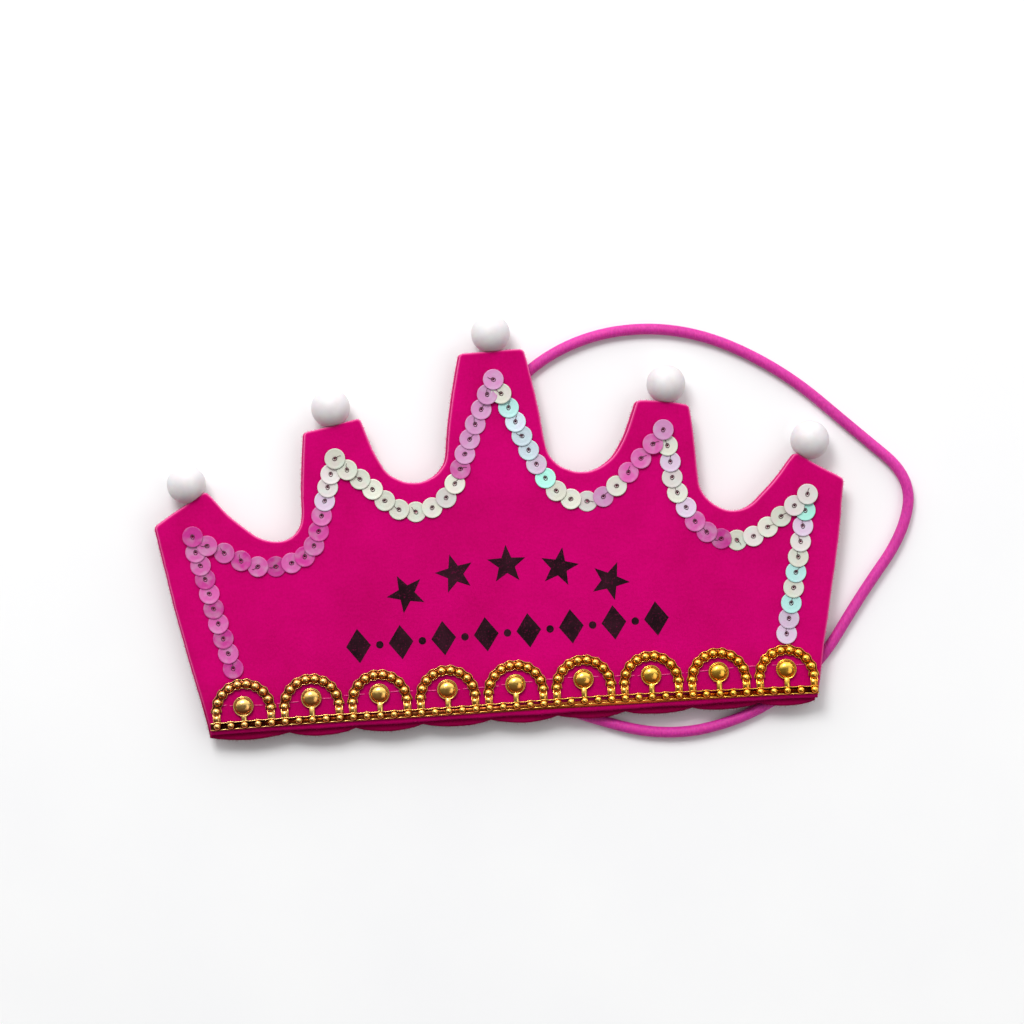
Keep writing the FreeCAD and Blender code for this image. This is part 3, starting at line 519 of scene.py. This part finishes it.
def right_outline():
    """The right half's edge, from its lower corner to the centre point."""
    base, outer, outer_in, mid_out, mid_in, centre = CORNERS
    outer_valley = valley_arc(outer_in, mid_out, OUTER_VALLEY)
    inner_valley = valley_arc(mid_in, centre, INNER_VALLEY)
    spots = [base]
    spots += rounded_corner(base, outer, outer_in, TIP_ROUNDING)
    spots += rounded_corner(outer, outer_in, outer_valley[0], TIP_ROUNDING)
    spots += outer_valley
    spots += rounded_corner(outer_valley[-1], mid_out, mid_in, TIP_ROUNDING)
    spots += rounded_corner(mid_out, mid_in, inner_valley[0], TIP_ROUNDING)
    spots += inner_valley
    spots += rounded_corner(inner_valley[-1], centre, (0, centre[1]), TIP_ROUNDING)
    return spots


def crown_outline(hem):
    """The whole edge, with the felt on its left; hem is its lower edge from left to right."""
    right = right_outline()
    left = [(-x, y) for x, y in reversed(right)]
    return right[1:] + left[:-1] + hem


def scalloped_hem():
    """The back layer's lower edge: shallow scallops, the first one wider than the last."""
    half = CORNERS[0][0]
    lobe = 2 * half / HEM_SCALLOPS
    inner = [-half + lobe * number + HEM_SHIFT for number in range(1, HEM_SCALLOPS)]
    notches = [-half] + inner + [half]
    spots = []
    for start, end in zip(notches, notches[1:]):
        for step in range(HEM_STEPS):
            share = step / HEM_STEPS
            drop = HEM_DROP + HEM_SWELL * math.sin(math.pi * share) ** 0.75
            spots.append((start + (end - start) * share, -drop))
    return [(-half, 0)] + spots + [(half, -HEM_DROP), (half, 0)]


def straight_hem():
    width = 2 * CORNERS[0][0]
    steps = 60
    return [(-width / 2 + width * step / steps, 0.0) for step in range(steps + 1)]


def inward_ways(outline):
    """For each spot of the edge, the way into the felt, longer at sharp corners."""
    ways = []
    count = len(outline)
    for number, spot in enumerate(outline):
        back = (Vector(spot) - Vector(outline[number - 1])).normalized()
        ahead = (Vector(outline[(number + 1) % count]) - Vector(spot)).normalized()
        along = (back + ahead).normalized()
        reach = 1 / max(0.5, along.dot(ahead))
        ways.append(Vector((-along.y, along.x)) * reach)
    return ways


def wobble(x, y):
    """The bends, and the small unevenness of a hand-cut edge."""
    slow = noise.noise_vector(Vector((x / 12, y / 12, 1.7))) * 0.28
    quick = noise.noise_vector(Vector((x / 2.4, y / 2.4, 5.2))) * 0.08
    return slow + quick + bent(x, y)


def felt_layer(name, outline, low, high, material, sinks):
    """A closed layer of felt with rounded edges, in a net so that its face can be uneven."""
    shape = bmesh.new()
    ways = inward_ways(outline)
    profile = [(0.7, low), (0.25, low + 0.12), (0.0, low + 0.6),
               (0.0, high - 0.6), (0.25, high - 0.12), (0.7, high)]
    rings = []
    for inset, height in profile:
        rings.append([shape.verts.new(at(spot[0] + way.x * inset, spot[1] + way.y * inset, height))
                      for spot, way in zip(outline, ways)])
    skin(shape, rings)
    for step in range(-40, 41):
        cut_net(shape, at(step * NET_PITCH + NET_START, 0), (1, 0, 0))
    for step in range(43):
        cut_net(shape, at(0, step * NET_PITCH + NET_START), (0, 1, 0))
    for vertex in shape.verts:
        x = vertex.co.x / MM
        y = vertex.co.y / MM + FRAME_OFFSET
        shift = wobble(x, y)
        share = (vertex.co.z / MM - low) / (high - low)
        rise = felt_rise(x, y) * share if sinks else 0.0
        vertex.co += Vector((shift.x, shift.y, rise)) * MM
    return piece(name, shape, material)


def cut_net(shape, place, way):
    bmesh.ops.bisect_plane(shape, geom=shape.verts[:] + shape.edges[:] + shape.faces[:],
                           plane_co=place, plane_no=way)


def fibre(shape, root, way, length, radius):
    """One loose fibre: a thin bent sliver with three sides."""
    side = way.orthogonal().normalized()
    bend = side * chance.uniform(-0.5, 0.5) + way.cross(side) * chance.uniform(-0.5, 0.5)
    rings = []
    for share in (0.0, 0.5, 1.0):
        middle = root + (way * share + bend * share * share) * length
        thin = radius * (1 - 0.6 * share)
        turned = [Matrix.Rotation(angle, 3, way) @ side * thin for angle in (0.0, 2.1, 4.2)]
        rings.append([shape.verts.new(middle + offset) for offset in turned])
    skin(shape, rings)


def felt_fuzz(name, outline, low, high, material):
    """Short fibres that stand out from the cut edge."""
    shape = bmesh.new()
    ways = inward_ways(outline)
    for number in range(len(outline)):
        start, end = Vector(outline[number - 1]), Vector(outline[number])
        for _ in range(round((end - start).length * FUZZ_DENSITY)):
            spot = start.lerp(end, chance.random())
            shift = wobble(spot.x, spot.y)
            out = -ways[number].normalized()
            way = Vector((out.x, out.y, chance.uniform(-0.3, 0.9)))
            way += Vector((chance.uniform(-0.9, 0.9), chance.uniform(-0.9, 0.9), 0.0))
            height = chance.uniform(low + 0.4, high - 0.35)
            root = at(spot.x + shift.x - out.x * 0.12, spot.y + shift.y - out.y * 0.12, height)
            length = chance.uniform(0.25, 0.75)
            fibre(shape, root, way.normalized(), length * MM, FIBRE_RADIUS * MM)
    return piece(name, shape, material)


def make_felt():
    """Both layers with their fuzz; the back one shows below the front one."""
    front_edge = crown_outline(straight_hem())
    back_edge = [(x + BACK_SLIP[0], y + BACK_SLIP[1]) for x, y in crown_outline(scalloped_hem())]
    front = felt_layer("felt_front", front_edge, SEAM_Z, FACE_Z, FELT, True)
    back = felt_layer("felt_back", back_edge, BACK_Z, SEAM_Z, SHADED_BACK_FELT, False)
    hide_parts("front_panel")
    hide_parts("back_panel")
    front_fuzz = felt_fuzz("felt_front_fuzz", front_edge, SEAM_Z, FACE_Z, FELT)
    back_fuzz = felt_fuzz("felt_back_fuzz", back_edge, BACK_Z, SEAM_Z, SHADED_BACK_FELT)


make_felt()


# Balls
def point_edge(outer, inner):
    """The edge of a blunt point on the right: its middle, the way along it to the left and the way out."""
    along = (Vector(inner) - Vector(outer)).normalized()
    return (Vector(inner) + Vector(outer)) / 2, along, Vector((along.y, -along.x))


def ball(whole, seat, way):
    """A frosted ball with a shallow notch where the felt's edge goes in."""
    seat = seat + bent(*seat).xy + Vector(BALL_SLIPS.get(whole, (0.0, 0.0)))
    centre = seat + way * (BALL_RADIUS - BALL_BITE + BALL_LIFT)
    shape = bmesh.new()
    bmesh.ops.create_uvsphere(shape, u_segments=48, v_segments=32, radius=BALL_RADIUS * MM)
    middle = at(centre.x, centre.y, BALL_RADIUS)
    out = Vector((way.x, way.y, 0))
    edge = at(seat.x, seat.y, 0)
    for vertex in shape.verts:
        vertex.co += middle
        reach = (vertex.co - edge).dot(out)
        depth = abs(vertex.co.z / MM - SEAM_Z)
        if reach < 0 and depth < FACE_Z - SEAM_Z + NOTCH_ROOM:
            vertex.co -= out * reach
    made = piece("frosted_" + whole, shape, FROSTED)
    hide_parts("ball_" + whole)


def make_balls():
    """One ball on each point; the outer ones sit near their point's inner corner."""
    _, outer_along, outer_way = point_edge(CORNERS[1], CORNERS[2])
    outer_seat = Vector(CORNERS[2]) - outer_along * BALL_SHIFT
    middle_seat, _, middle_way = point_edge(CORNERS[3], CORNERS[4])
    for side, sign in (("left", -1), ("right", 1)):
        mirror = Vector((sign, 1))
        ball(side + "_outer", outer_seat * mirror, outer_way * mirror)
        ball(side + "_middle", middle_seat * mirror, middle_way * mirror)
    ball("centre", Vector((0, CORNERS[-1][1])), Vector((0, 1)))


make_balls()


# Gold trim
def lathe(shape, x, y, profile, sides):
    """A round form on the felt through rings of the given radius and height; the last is its tip."""
    rings = [[shape.verts.new(at(x + radius * math.cos(2 * math.pi * n / sides),
                                 y + radius * math.sin(2 * math.pi * n / sides), FACE_Z + height))
              for n in range(sides)] for radius, height in profile[:-1]]
    join_rings(shape, rings)
    tip = shape.verts.new(at(x, y, FACE_Z + profile[-1][1]))
    for number in range(sides):
        shape.faces.new((rings[-1][number - 1], rings[-1][number], tip))
    shape.faces.new(rings[0][::-1])


def ribbon(shape, path, half_width, height):
    """A strip along a path, with rounded shoulders; a third value at a spot scales its height."""
    section = [(-1.0, 0.0), (-1.0, 0.6), (-0.7, 0.9), (0.0, 1.0), (0.7, 0.9), (1.0, 0.6), (1.0, 0.0)]
    rings = []
    for number, spot in enumerate(path):
        before = Vector(path[max(0, number - 1)][:2])
        after = Vector(path[min(len(path) - 1, number + 1)][:2])
        along = (after - before).normalized()
        scale = spot[2] if len(spot) > 2 else 1.0
        across = Vector((along.y, -along.x))
        ring = []
        for share, rise in section:
            place = Vector(spot[:2]) + across * half_width * share
            ring.append(shape.verts.new(at(place.x, place.y, FACE_Z + height * rise * scale)))
        rings.append(ring)
    skin(shape, rings)


ARCH_BEAD = [(1.26, 0.0), (1.26, 0.6), (1.2, 1.0), (1.04, 1.38), (0.76, 1.7), (0.4, 1.89), (0.0, 1.95)]
CHAIN_BEAD = [(1.1, 0.0), (1.1, 0.6), (1.02, 1.0), (0.82, 1.36), (0.5, 1.6), (0.24, 1.7), (0.0, 1.72)]
DOME = [(3.0, 0.0), (3.0, 0.75), (2.92, 0.95), (2.78, 0.98), (2.66, 0.82), (2.5, 0.8), (2.44, 1.1),
        (2.2, 1.52), (1.75, 1.88), (1.15, 2.1), (0.5, 2.2), (0.0, 2.22)]


def rail_path(side):
    """A rail beside the chain, which swells around each bead; the lower one is flatter there."""
    reach = 0.95
    swell = 0.26
    pitch = 0.4
    spots = []
    for step in range(round((TRIM_END - TRIM_START) / pitch) + 1):
        x = TRIM_START + step * pitch
        off = (x / CHAIN_PITCH + 0.5) % 1 - 0.5
        near = math.exp(-((off * CHAIN_PITCH / 0.85) ** 2))
        scale = 1 - 0.5 * near if side < 0 else 1.0
        spots.append((x, CHAIN_RISE + side * (reach + swell * near), scale))
    return spots


def arch_rim(x, centre, side):
    """The arch's outer (1) or inner (-1) rim, which swells around each bead."""
    steps = 90
    spots = []
    for step in range(steps + 1):
        angle = math.pi * step / steps
        off = (angle - (math.pi - ARCH_SWEEP) / 2) * (ARCH_BEADS - 1) / ARCH_SWEEP
        swell = 0.18 * (1 + math.cos(2 * math.pi * off))
        reach = ARCH_RADIUS + side * (1.12 + swell)
        spots.append((x + reach * math.cos(angle), centre + reach * math.sin(angle)))
    return spots


def leg(shape, x, top):
    """An arch's leg, from the chain up, with its two rims."""
    ribbon(shape, [(x, CHAIN_RISE), (x, top)], *LEG_STRIP)
    for edge in (-0.95, 0.95):
        ribbon(shape, [(x + edge, CHAIN_RISE), (x + edge, top + 0.2)], *LEG_RIM)


def bead_arch(shape, x, centre):
    """The strip between an arch's rims, with its beads."""
    ribbon(shape, arc((x, centre), ARCH_RADIUS, 0, math.pi, 30), *ARCH_STRIP)
    for step in range(ARCH_BEADS):
        angle = (math.pi - ARCH_SWEEP) / 2 + ARCH_SWEEP * step / (ARCH_BEADS - 1)
        bead_x = x + ARCH_RADIUS * math.cos(angle)
        bead_y = centre + ARCH_RADIUS * math.sin(angle)
        lathe(shape, bead_x, bead_y, ARCH_BEAD, 16)


def scallop(shape, x, dome_rise):
    """One arch on its legs, the domed stud on its stem and the chain's beads below."""
    centre = CHAIN_RISE + ARCH_RISE
    for side in (-1, 1):
        leg(shape, x + side * ARCH_RADIUS, centre)
        ribbon(shape, arch_rim(x, centre, side), *ARCH_RIM)
    bead_arch(shape, x, centre)
    ribbon(shape, [(x, CHAIN_RISE), (x, CHAIN_RISE + 1.5), (x, dome_rise)], *STEM_STRIP)
    lathe(shape, x, dome_rise, DOME, 28)
    for step in range(-2, 3):
        lathe(shape, x + step * CHAIN_PITCH, CHAIN_RISE, CHAIN_BEAD, 14)


def past_bend(x):
    return max(0.0, x - BEND_START)


def trim_droop(x):
    """How far the trim bends down, most of all at its right end."""
    return BEND_DROP * (past_bend(x) / BEND_LENGTH) ** 2 - 0.12 * math.sin(x / 13)


def make_trim():
    """The whole trim, laid on the uneven felt; each vertex keeps its height for the finish, which paints
    shade and a reflection of the felt into the low places.
    """
    shape = bmesh.new()
    for number in range(SCALLOPS):
        drop = FIRST_DOME_DROP if number == 0 else 0.0
        x = (number - (SCALLOPS - 1) / 2) * SCALLOP_PITCH
        scallop(shape, x, CHAIN_RISE + DOME_RISE - drop)
    ribbon(shape, [(TRIM_START, CHAIN_RISE), (TRIM_END, CHAIN_RISE)], *CHAIN_STRIP)
    for side in (-1, 1):
        ribbon(shape, rail_path(side), *CHAIN_RAIL)
    layer = shape.verts.layers.float_color.new("height")
    for vertex in shape.verts:
        x = vertex.co.x / MM
        y = vertex.co.y / MM + FRAME_OFFSET
        height = vertex.co.z / MM - FACE_Z
        tone = height / TRIM_TOP
        vertex[layer] = (tone, tone, tone, 1.0)
        vertex.co.x += (TRIM_SLIP[0] - BEND_SHRINK * past_bend(x)) * MM
        vertex.co.y += (TRIM_SLIP[1] + x * TRIM_SLANT - trim_droop(x)) * MM
        vertex.co.z += (felt_rise(x, y) - SKIRT_DEPTH * max(0.0, 1 - height / SKIRT_HEIGHT)) * MM
    trim = piece("gold_bead_trim", shape, GOLD)
    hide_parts("gold_trim")


make_trim()


# Threads
def tube(shape, path, radius, sides=6):
    """A round thread along a path of points in metres, closed at both ends."""
    rings = []
    for number, spot in enumerate(path):
        along = (path[min(len(path) - 1, number + 1)] - path[max(0, number - 1)]).normalized()
        side = along.cross(Vector((0, 0, 1)))
        side = side.normalized() if side.length > 0.01 else Vector((1, 0, 0))
        turns = [Matrix.Rotation(2 * math.pi * n / sides, 3, along) for n in range(sides)]
        rings.append([shape.verts.new(spot + turn @ side * radius * MM) for turn in turns])
    skin(shape, rings)


def stitch(shape, start, end, radius, rise):
    """A stitch that comes out of the felt, lies on it and goes back in."""
    path = []
    for share in (0.0, 0.12, 0.35, 0.65, 0.88, 1.0):
        x = start[0] + (end[0] - start[0]) * share
        y = start[1] + (end[1] - start[1]) * share
        hump = rise * math.sin(math.pi * share) ** 0.4 if 0 < share < 1 else -0.35
        path.append(at(x, y, FACE_Z + felt_rise(x, y) + hump))
    tube(shape, path, radius)


SEAM_START = -86.0
SEAM_END = 85.0
SEAM_RISE = 9.2


def make_base_seam():
    """The pink running stitch that is seen through the trim."""
    shape = bmesh.new()
    x = SEAM_START
    while x < SEAM_END:
        length = chance.uniform(2.4, 3.4)
        y = SEAM_RISE + TRIM_SLANT * x + 0.5 * math.sin(x / 9) + 0.4 * math.sin(x / 31 + 1)
        stitch(shape, (x, y), (x + length, y + chance.uniform(-0.15, 0.15)), 0.15, 0.14)
        x += length + chance.uniform(0.4, 0.8)
    piece("base_seam", shape, PINK_THREAD)


make_base_seam()


# Sequins
def straight_climb(start, end):
    """Evenly spaced spots on a line, with their heading."""
    heading = math.atan2(end[1] - start[1], end[0] - start[0])
    count = round(math.dist(start, end) / SEQUIN_SPACING)
    return [(blended(start, end, step / count), heading) for step in range(count + 1)]


def valley_climb(centre, radius, peak, side):
    """Evenly spaced spots from a valley's bottom up its arc and its wall to a peak."""
    touch = tangent_point(peak, centre, radius, -side)
    end = math.atan2(touch[1] - centre[1], touch[0] - centre[0])
    curve = radius * (side * (end + math.pi / 2) % (2 * math.pi))
    length = curve + math.dist(touch, peak)
    count = round(length / SEQUIN_SPACING)
    wall = math.atan2(peak[1] - touch[1], peak[0] - touch[0])
    spots = []
    for step in range(1, count + 1):
        run = length * step / count
        if run < curve:
            angle = -math.pi / 2 + side * run / radius
            spot = (centre[0] + radius * math.cos(angle), centre[1] + radius * math.sin(angle))
            spots.append((spot, angle + side * math.pi / 2))
        else:
            spots.append((blended(touch, peak, (run - curve) / (length - curve)), wall))
    return spots


def strand_peaks():
    """Where the strands meet below the outer, the middle and the centre point."""
    peaks = []
    for outer, inner in ((CORNERS[1], CORNERS[2]), (CORNERS[3], CORNERS[4])):
        middle, _, out = point_edge(outer, inner)
        peaks.append(tuple(middle - out * STRAND_INSET))
    return peaks + [(0.0, CORNERS[-1][1] - STRAND_INSET)]


def right_strands():
    """The right side's strands, and the sequin on the centre point: place, heading, lift, whether level."""
    outer, middle, centre = strand_peaks()
    arch_edge = 1.3
    gap = 0.1
    rise = CHAIN_RISE + ARCH_RISE + ARCH_RADIUS + arch_edge + SEQUIN_RADIUS + gap
    side_x = CORNERS[0][0] + (CORNERS[1][0] - CORNERS[0][0]) * rise / CORNERS[1][1] - STRAND_MARGIN
    side = straight_climb((side_x, rise), outer)
    strands = {"side": climbed(side, 0.0, True)}
    valleys = {
        "outer": ((OUTER_VALLEY[0][0], OUTER_VALLEY[0][1] - 4.0), 14.1, outer, middle),
        "inner": ((INNER_VALLEY[0][0], INNER_VALLEY[0][1] - 6.6), 11.6, middle, centre),
    }
    for name, (arc_centre, radius, low, high) in valleys.items():
        bottom = [((arc_centre[0], arc_centre[1] - radius), 0.0, -0.2, True)]
        own_peak = name == "outer"
        left_lift = 0.0 if own_peak else BESIDE_LIFT
        rightward = climbed(valley_climb(arc_centre, radius, low, 1), BESIDE_LIFT, False)
        leftward = climbed(valley_climb(arc_centre, radius, high, -1), left_lift, own_peak)
        strands[name] = bottom + rightward + leftward
    return strands, (centre, 0.0, TOP_LIFT, True)


def climbed(spots, beside_lift, own_peak):
    """Adds to the spots of one climb how high each sequin lies."""
    laid = [(spot, heading, 0.0, False) for spot, heading in spots[:-2]]
    laid.append((*spots[-2], beside_lift, False))
    if own_peak:
        laid.append((*spots[-1], TOP_LIFT, True))
    return laid


ORCHID = (214, 50, 158)
PINK = (220, 96, 176)
MAUVE = (216, 146, 198)
LILAC = (208, 184, 208)
PEARL = (214, 206, 202)
CREAM = (214, 213, 198)
FROST = (192, 208, 218)
MINT = (168, 236, 220)
AQUA = (176, 224, 220)

# Tints along each strand, from left to right, or from its top down at the sides
TINTS = {
    "left_side": [ORCHID, PINK, PINK, ORCHID, PINK, ORCHID, PINK, ORCHID, PINK, ORCHID],
    "left_outer": [PINK, PINK, ORCHID, PINK, ORCHID, PINK, ORCHID, PINK, ORCHID, PINK, LILAC, PEARL,
                   PEARL, CREAM],
    "left_inner": [CREAM, CREAM, CREAM, CREAM, CREAM, CREAM, CREAM, PEARL, CREAM, PINK, MAUVE, MAUVE,
                   MAUVE, MAUVE, MAUVE, MAUVE],
    "right_inner": [CREAM, AQUA, FROST, FROST, FROST, LILAC, MINT, CREAM, CREAM, PEARL, MAUVE, CREAM,
                    PINK, PINK, PINK],
    "right_outer": [MAUVE, CREAM, LILAC, PEARL, CREAM, LILAC, PINK, PINK, ORCHID, CREAM, PEARL, CREAM,
                    CREAM, PEARL],
    "right_side": [PEARL, MINT, LILAC, PEARL, CREAM, AQUA, CREAM, AQUA, LILAC, LILAC],
}
OPACITY = {ORCHID: 0.72, PINK: 0.8, MAUVE: 0.85}


def strand_tint(name, number):
    """The tint of a numbered sequin, a little lighter or darker on each one, and how opaque it is."""
    palette = TINTS[name]
    tint = palette[min(number, len(palette) - 1)]
    shade = chance.uniform(0.95, 1.05)
    return rgb(*[min(255, part * shade) for part in tint])[:3] + (OPACITY.get(tint, 1.0),)


SEQUIN_PROFILE = [(0.28, 0.0), (0.4, 0.05), (1.6, 0.02), (2.6, 0.05), (2.92, 0.1), (3.0, 0.06),
                  (2.96, -0.02), (2.6, -0.08), (1.6, -0.13), (0.4, -0.09)]


def sequin(shape, layer, place, heading, lift, level, tint):
    """One shallow cupped sequin with its hole, laid on the one before it."""
    x, y = place
    slope = SEQUIN_STEP / SEQUIN_SPACING
    tilt = 0.0 if level else math.atan(slope)
    height = FACE_Z + SEQUIN_FLOAT + slope * SEQUIN_RADIUS + lift + felt_rise(x, y)
    turn = Matrix.Rotation(heading, 3, "Z") @ Matrix.Rotation(tilt + chance.uniform(-0.012, 0.012), 3, "Y")
    turn = turn @ Matrix.Rotation(chance.uniform(-0.03, 0.03), 3, "X")
    middle = at(x, y, height)
    sides = 28
    rings = []
    for radius, rise in SEQUIN_PROFILE:
        ring = []
        for n in range(sides):
            angle = 2 * math.pi * n / sides
            flat = Vector((radius * math.cos(angle), radius * math.sin(angle), rise)) * MM
            vertex = shape.verts.new(middle + turn @ flat)
            vertex[layer] = tint
            ring.append(vertex)
        rings.append(ring)
    join_rings(shape, rings + rings[:1])
    return middle, turn


def sequin_thread(shape, middle, turn):
    """The dark stitch: a small ring that dips into the hole, and on some sequins a thin loose end."""
    ring = [(0.64 * math.cos(angle), 0.5 * math.sin(angle), 0.17)
            for angle in [math.pi * step / 6 for step in range(13)]]
    dip = [(0.6, 0.0, 0.17), (0.25, 0.05, 0.14), (0.02, 0.0, -0.3)]
    loose = [(0.6, 0.0, 0.15), (1.0, 0.1, 0.17), (1.5, 0.0, 0.14), (1.9, -0.15, 0.1)]
    spin = Matrix.Rotation(chance.uniform(-0.9, 0.9), 3, "Z")
    parts = [(ring, 0.12), (dip, 0.11)]
    if chance.random() < 0.6:
        parts.append((loose, 0.075))
    for spots, radius in parts:
        tube(shape, [middle + turn @ spin @ (Vector(spot) * MM) for spot in spots], radius, 5)


def make_strand(side, name, laid):
    """One strand with its threads."""
    sign = 1 if side == "right" else -1
    whole = "%s_%s" % (side, name)
    spots = [((sign * place[0], place[1]), heading if sign > 0 else math.pi - heading, lift, level)
             for place, heading, lift, level in laid]
    runs = [-place[1] if name == "side" else place[0] for place, _, _, _ in spots]
    order = sorted(runs)
    shape = bmesh.new()
    threads = bmesh.new()
    layer = shape.verts.layers.float_color.new("tint")
    for (place, heading, lift, level), run in zip(spots, runs):
        place = Vector(place) + bent(*place).xy
        tint = strand_tint(whole, order.index(run))
        middle, turn = sequin(shape, layer, place, heading, lift, level, tint)
        sequin_thread(threads, middle, turn)
    strand = piece("sequin_strand_" + whole, shape, FILM)
    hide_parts("sequins_" + whole)
    piece("sequin_thread_" + whole, threads, DARK_THREAD)


def make_strands():
    strands, top = right_strands()
    for side in ("left", "right"):
        for name, laid in strands.items():
            own_top = side == "left" and name == "inner"
            make_strand(side, name, laid + [top] if own_top else laid)


make_strands()


# Printed motif
def print_shape(shape, x, y, outline, turn):
    """A flat printed figure on the felt, around its own middle."""
    cos, sin = math.cos(turn), math.sin(turn)
    spots = [(x + u * cos - v * sin, y + u * sin + v * cos) for u, v in outline]
    low = [shape.verts.new(at(u, v, FACE_Z + felt_rise(u, v) - 0.1)) for u, v in spots]
    high = [shape.verts.new(at(u, v, FACE_Z + felt_rise(u, v) + 0.05)) for u, v in spots]
    middle = shape.verts.new(at(x, y, FACE_Z + felt_rise(x, y) + 0.06))
    for number in range(len(spots)):
        shape.faces.new((low[number - 1], low[number], high[number], high[number - 1]))
        shape.faces.new((high[number - 1], high[number], middle))
    shape.faces.new(low[::-1])


def with_middles(corners):
    """The outline with a spot in the middle of each side."""
    return [spot for one, two in zip(corners, corners[1:] + corners[:1])
            for spot in (one, blended(one, two, 0.5))]


def star(radius):
    points = 5
    corners = []
    for number in range(2 * points):
        angle = math.pi / 2 + math.pi * number / points
        reach = radius if number % 2 == 0 else radius * 0.42
        corners.append((reach * math.cos(angle), reach * math.sin(angle)))
    return with_middles(corners)


def diamond(wide, tall):
    return with_middles([(0, tall), (-wide, 0), (0, -tall), (wide, 0)])


def dot(radius):
    sides = 16
    return arc((0, 0), radius, 0, 2 * math.pi * (sides - 1) / sides, sides - 1)


STARS = 5
STAR_ARCH = (0.5, -26.0, 70.0)
STAR_SPREAD = 12.5
DIAMONDS = 8
ROW_MIDDLE = (-0.5, 24.4)
ROW_PITCH = 12.4
ROW_TILT = math.radians(1.7)


def make_motif():
    """An arch of stars over a row of diamonds and dots."""
    shape = bmesh.new()
    arch_x, arch_y, arch_radius = STAR_ARCH
    for number in range(STARS):
        lean = math.radians(STAR_SPREAD * ((STARS - 1) / 2 - number))
        x = arch_x - arch_radius * math.sin(lean)
        y = arch_y + arch_radius * math.cos(lean)
        print_shape(shape, x, y, star(5.8), lean)
    for number in range(DIAMONDS):
        along = (number - (DIAMONDS - 1) / 2) * ROW_PITCH
        x = ROW_MIDDLE[0] + along * math.cos(ROW_TILT)
        y = ROW_MIDDLE[1] + along * math.sin(ROW_TILT)
        print_shape(shape, x, y, diamond(3.6, 5.0), ROW_TILT)
        if number < DIAMONDS - 1:
            print_shape(shape, x + ROW_PITCH / 2, y, dot(1.1), 0.0)
    piece("printed_motif", shape, INK, smooth=False)


make_motif()


# Stays, floor and light
def dress_stays():
    """The hidden stays keep their own shape and take the back layer's felt."""
    for name in ("elastic_stay_left", "elastic_stay_right"):
        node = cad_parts[name]
        for slot in node.material_slots:
            slot.material = SHADED_BACK_FELT


def lay_floor():
    shape = bmesh.new()
    bmesh.ops.create_grid(shape, x_segments=4, y_segments=4, size=2.0)
    mesh = bpy.data.meshes.new("pale_floor")
    shape.to_mesh(mesh)
    shape.free()
    mesh.materials.append(floor_finish())
    floor = put("pale_floor", mesh)


def light(name, place, width, watts):
    """A soft square light that looks at the crown."""
    data = bpy.data.lights.new(name, "AREA")
    data.size = width
    data.energy = watts
    lamp = put(name, data)
    lamp.location = place
    lamp.rotation_euler = (-Vector(place)).to_track_quat("-Z", "Y").to_euler()


def light_studio():
    """A bright wall beyond the crown's points and a dim room elsewhere, with a key and a fill light."""
    room = Finish("studio", "worlds", "Background")
    way = room.add("ShaderNodeTexCoord", {}, {}, out="Generated")
    ahead = room.add("ShaderNodeSeparateXYZ", {}, {"Vector": way}, out="Y")
    dim = (0.15, 0.15, 0.15, 1.0)
    bright = (1.55, 1.55, 1.55, 1.0)
    walls = room.mix(room.steps(ahead, 0.1, 0.55), dim, bright)
    bpy.context.scene.world = room.surface(color=walls, strength=1.0)
    light("key", (-0.25, 0.75, 0.95), 0.45, 8.5)
    light("fill", (0.7, -0.3, 0.9), 0.8, 2.5)
    bpy.context.scene.view_settings.view_transform = "Standard"


dress_stays()
lay_floor()
light_studio()
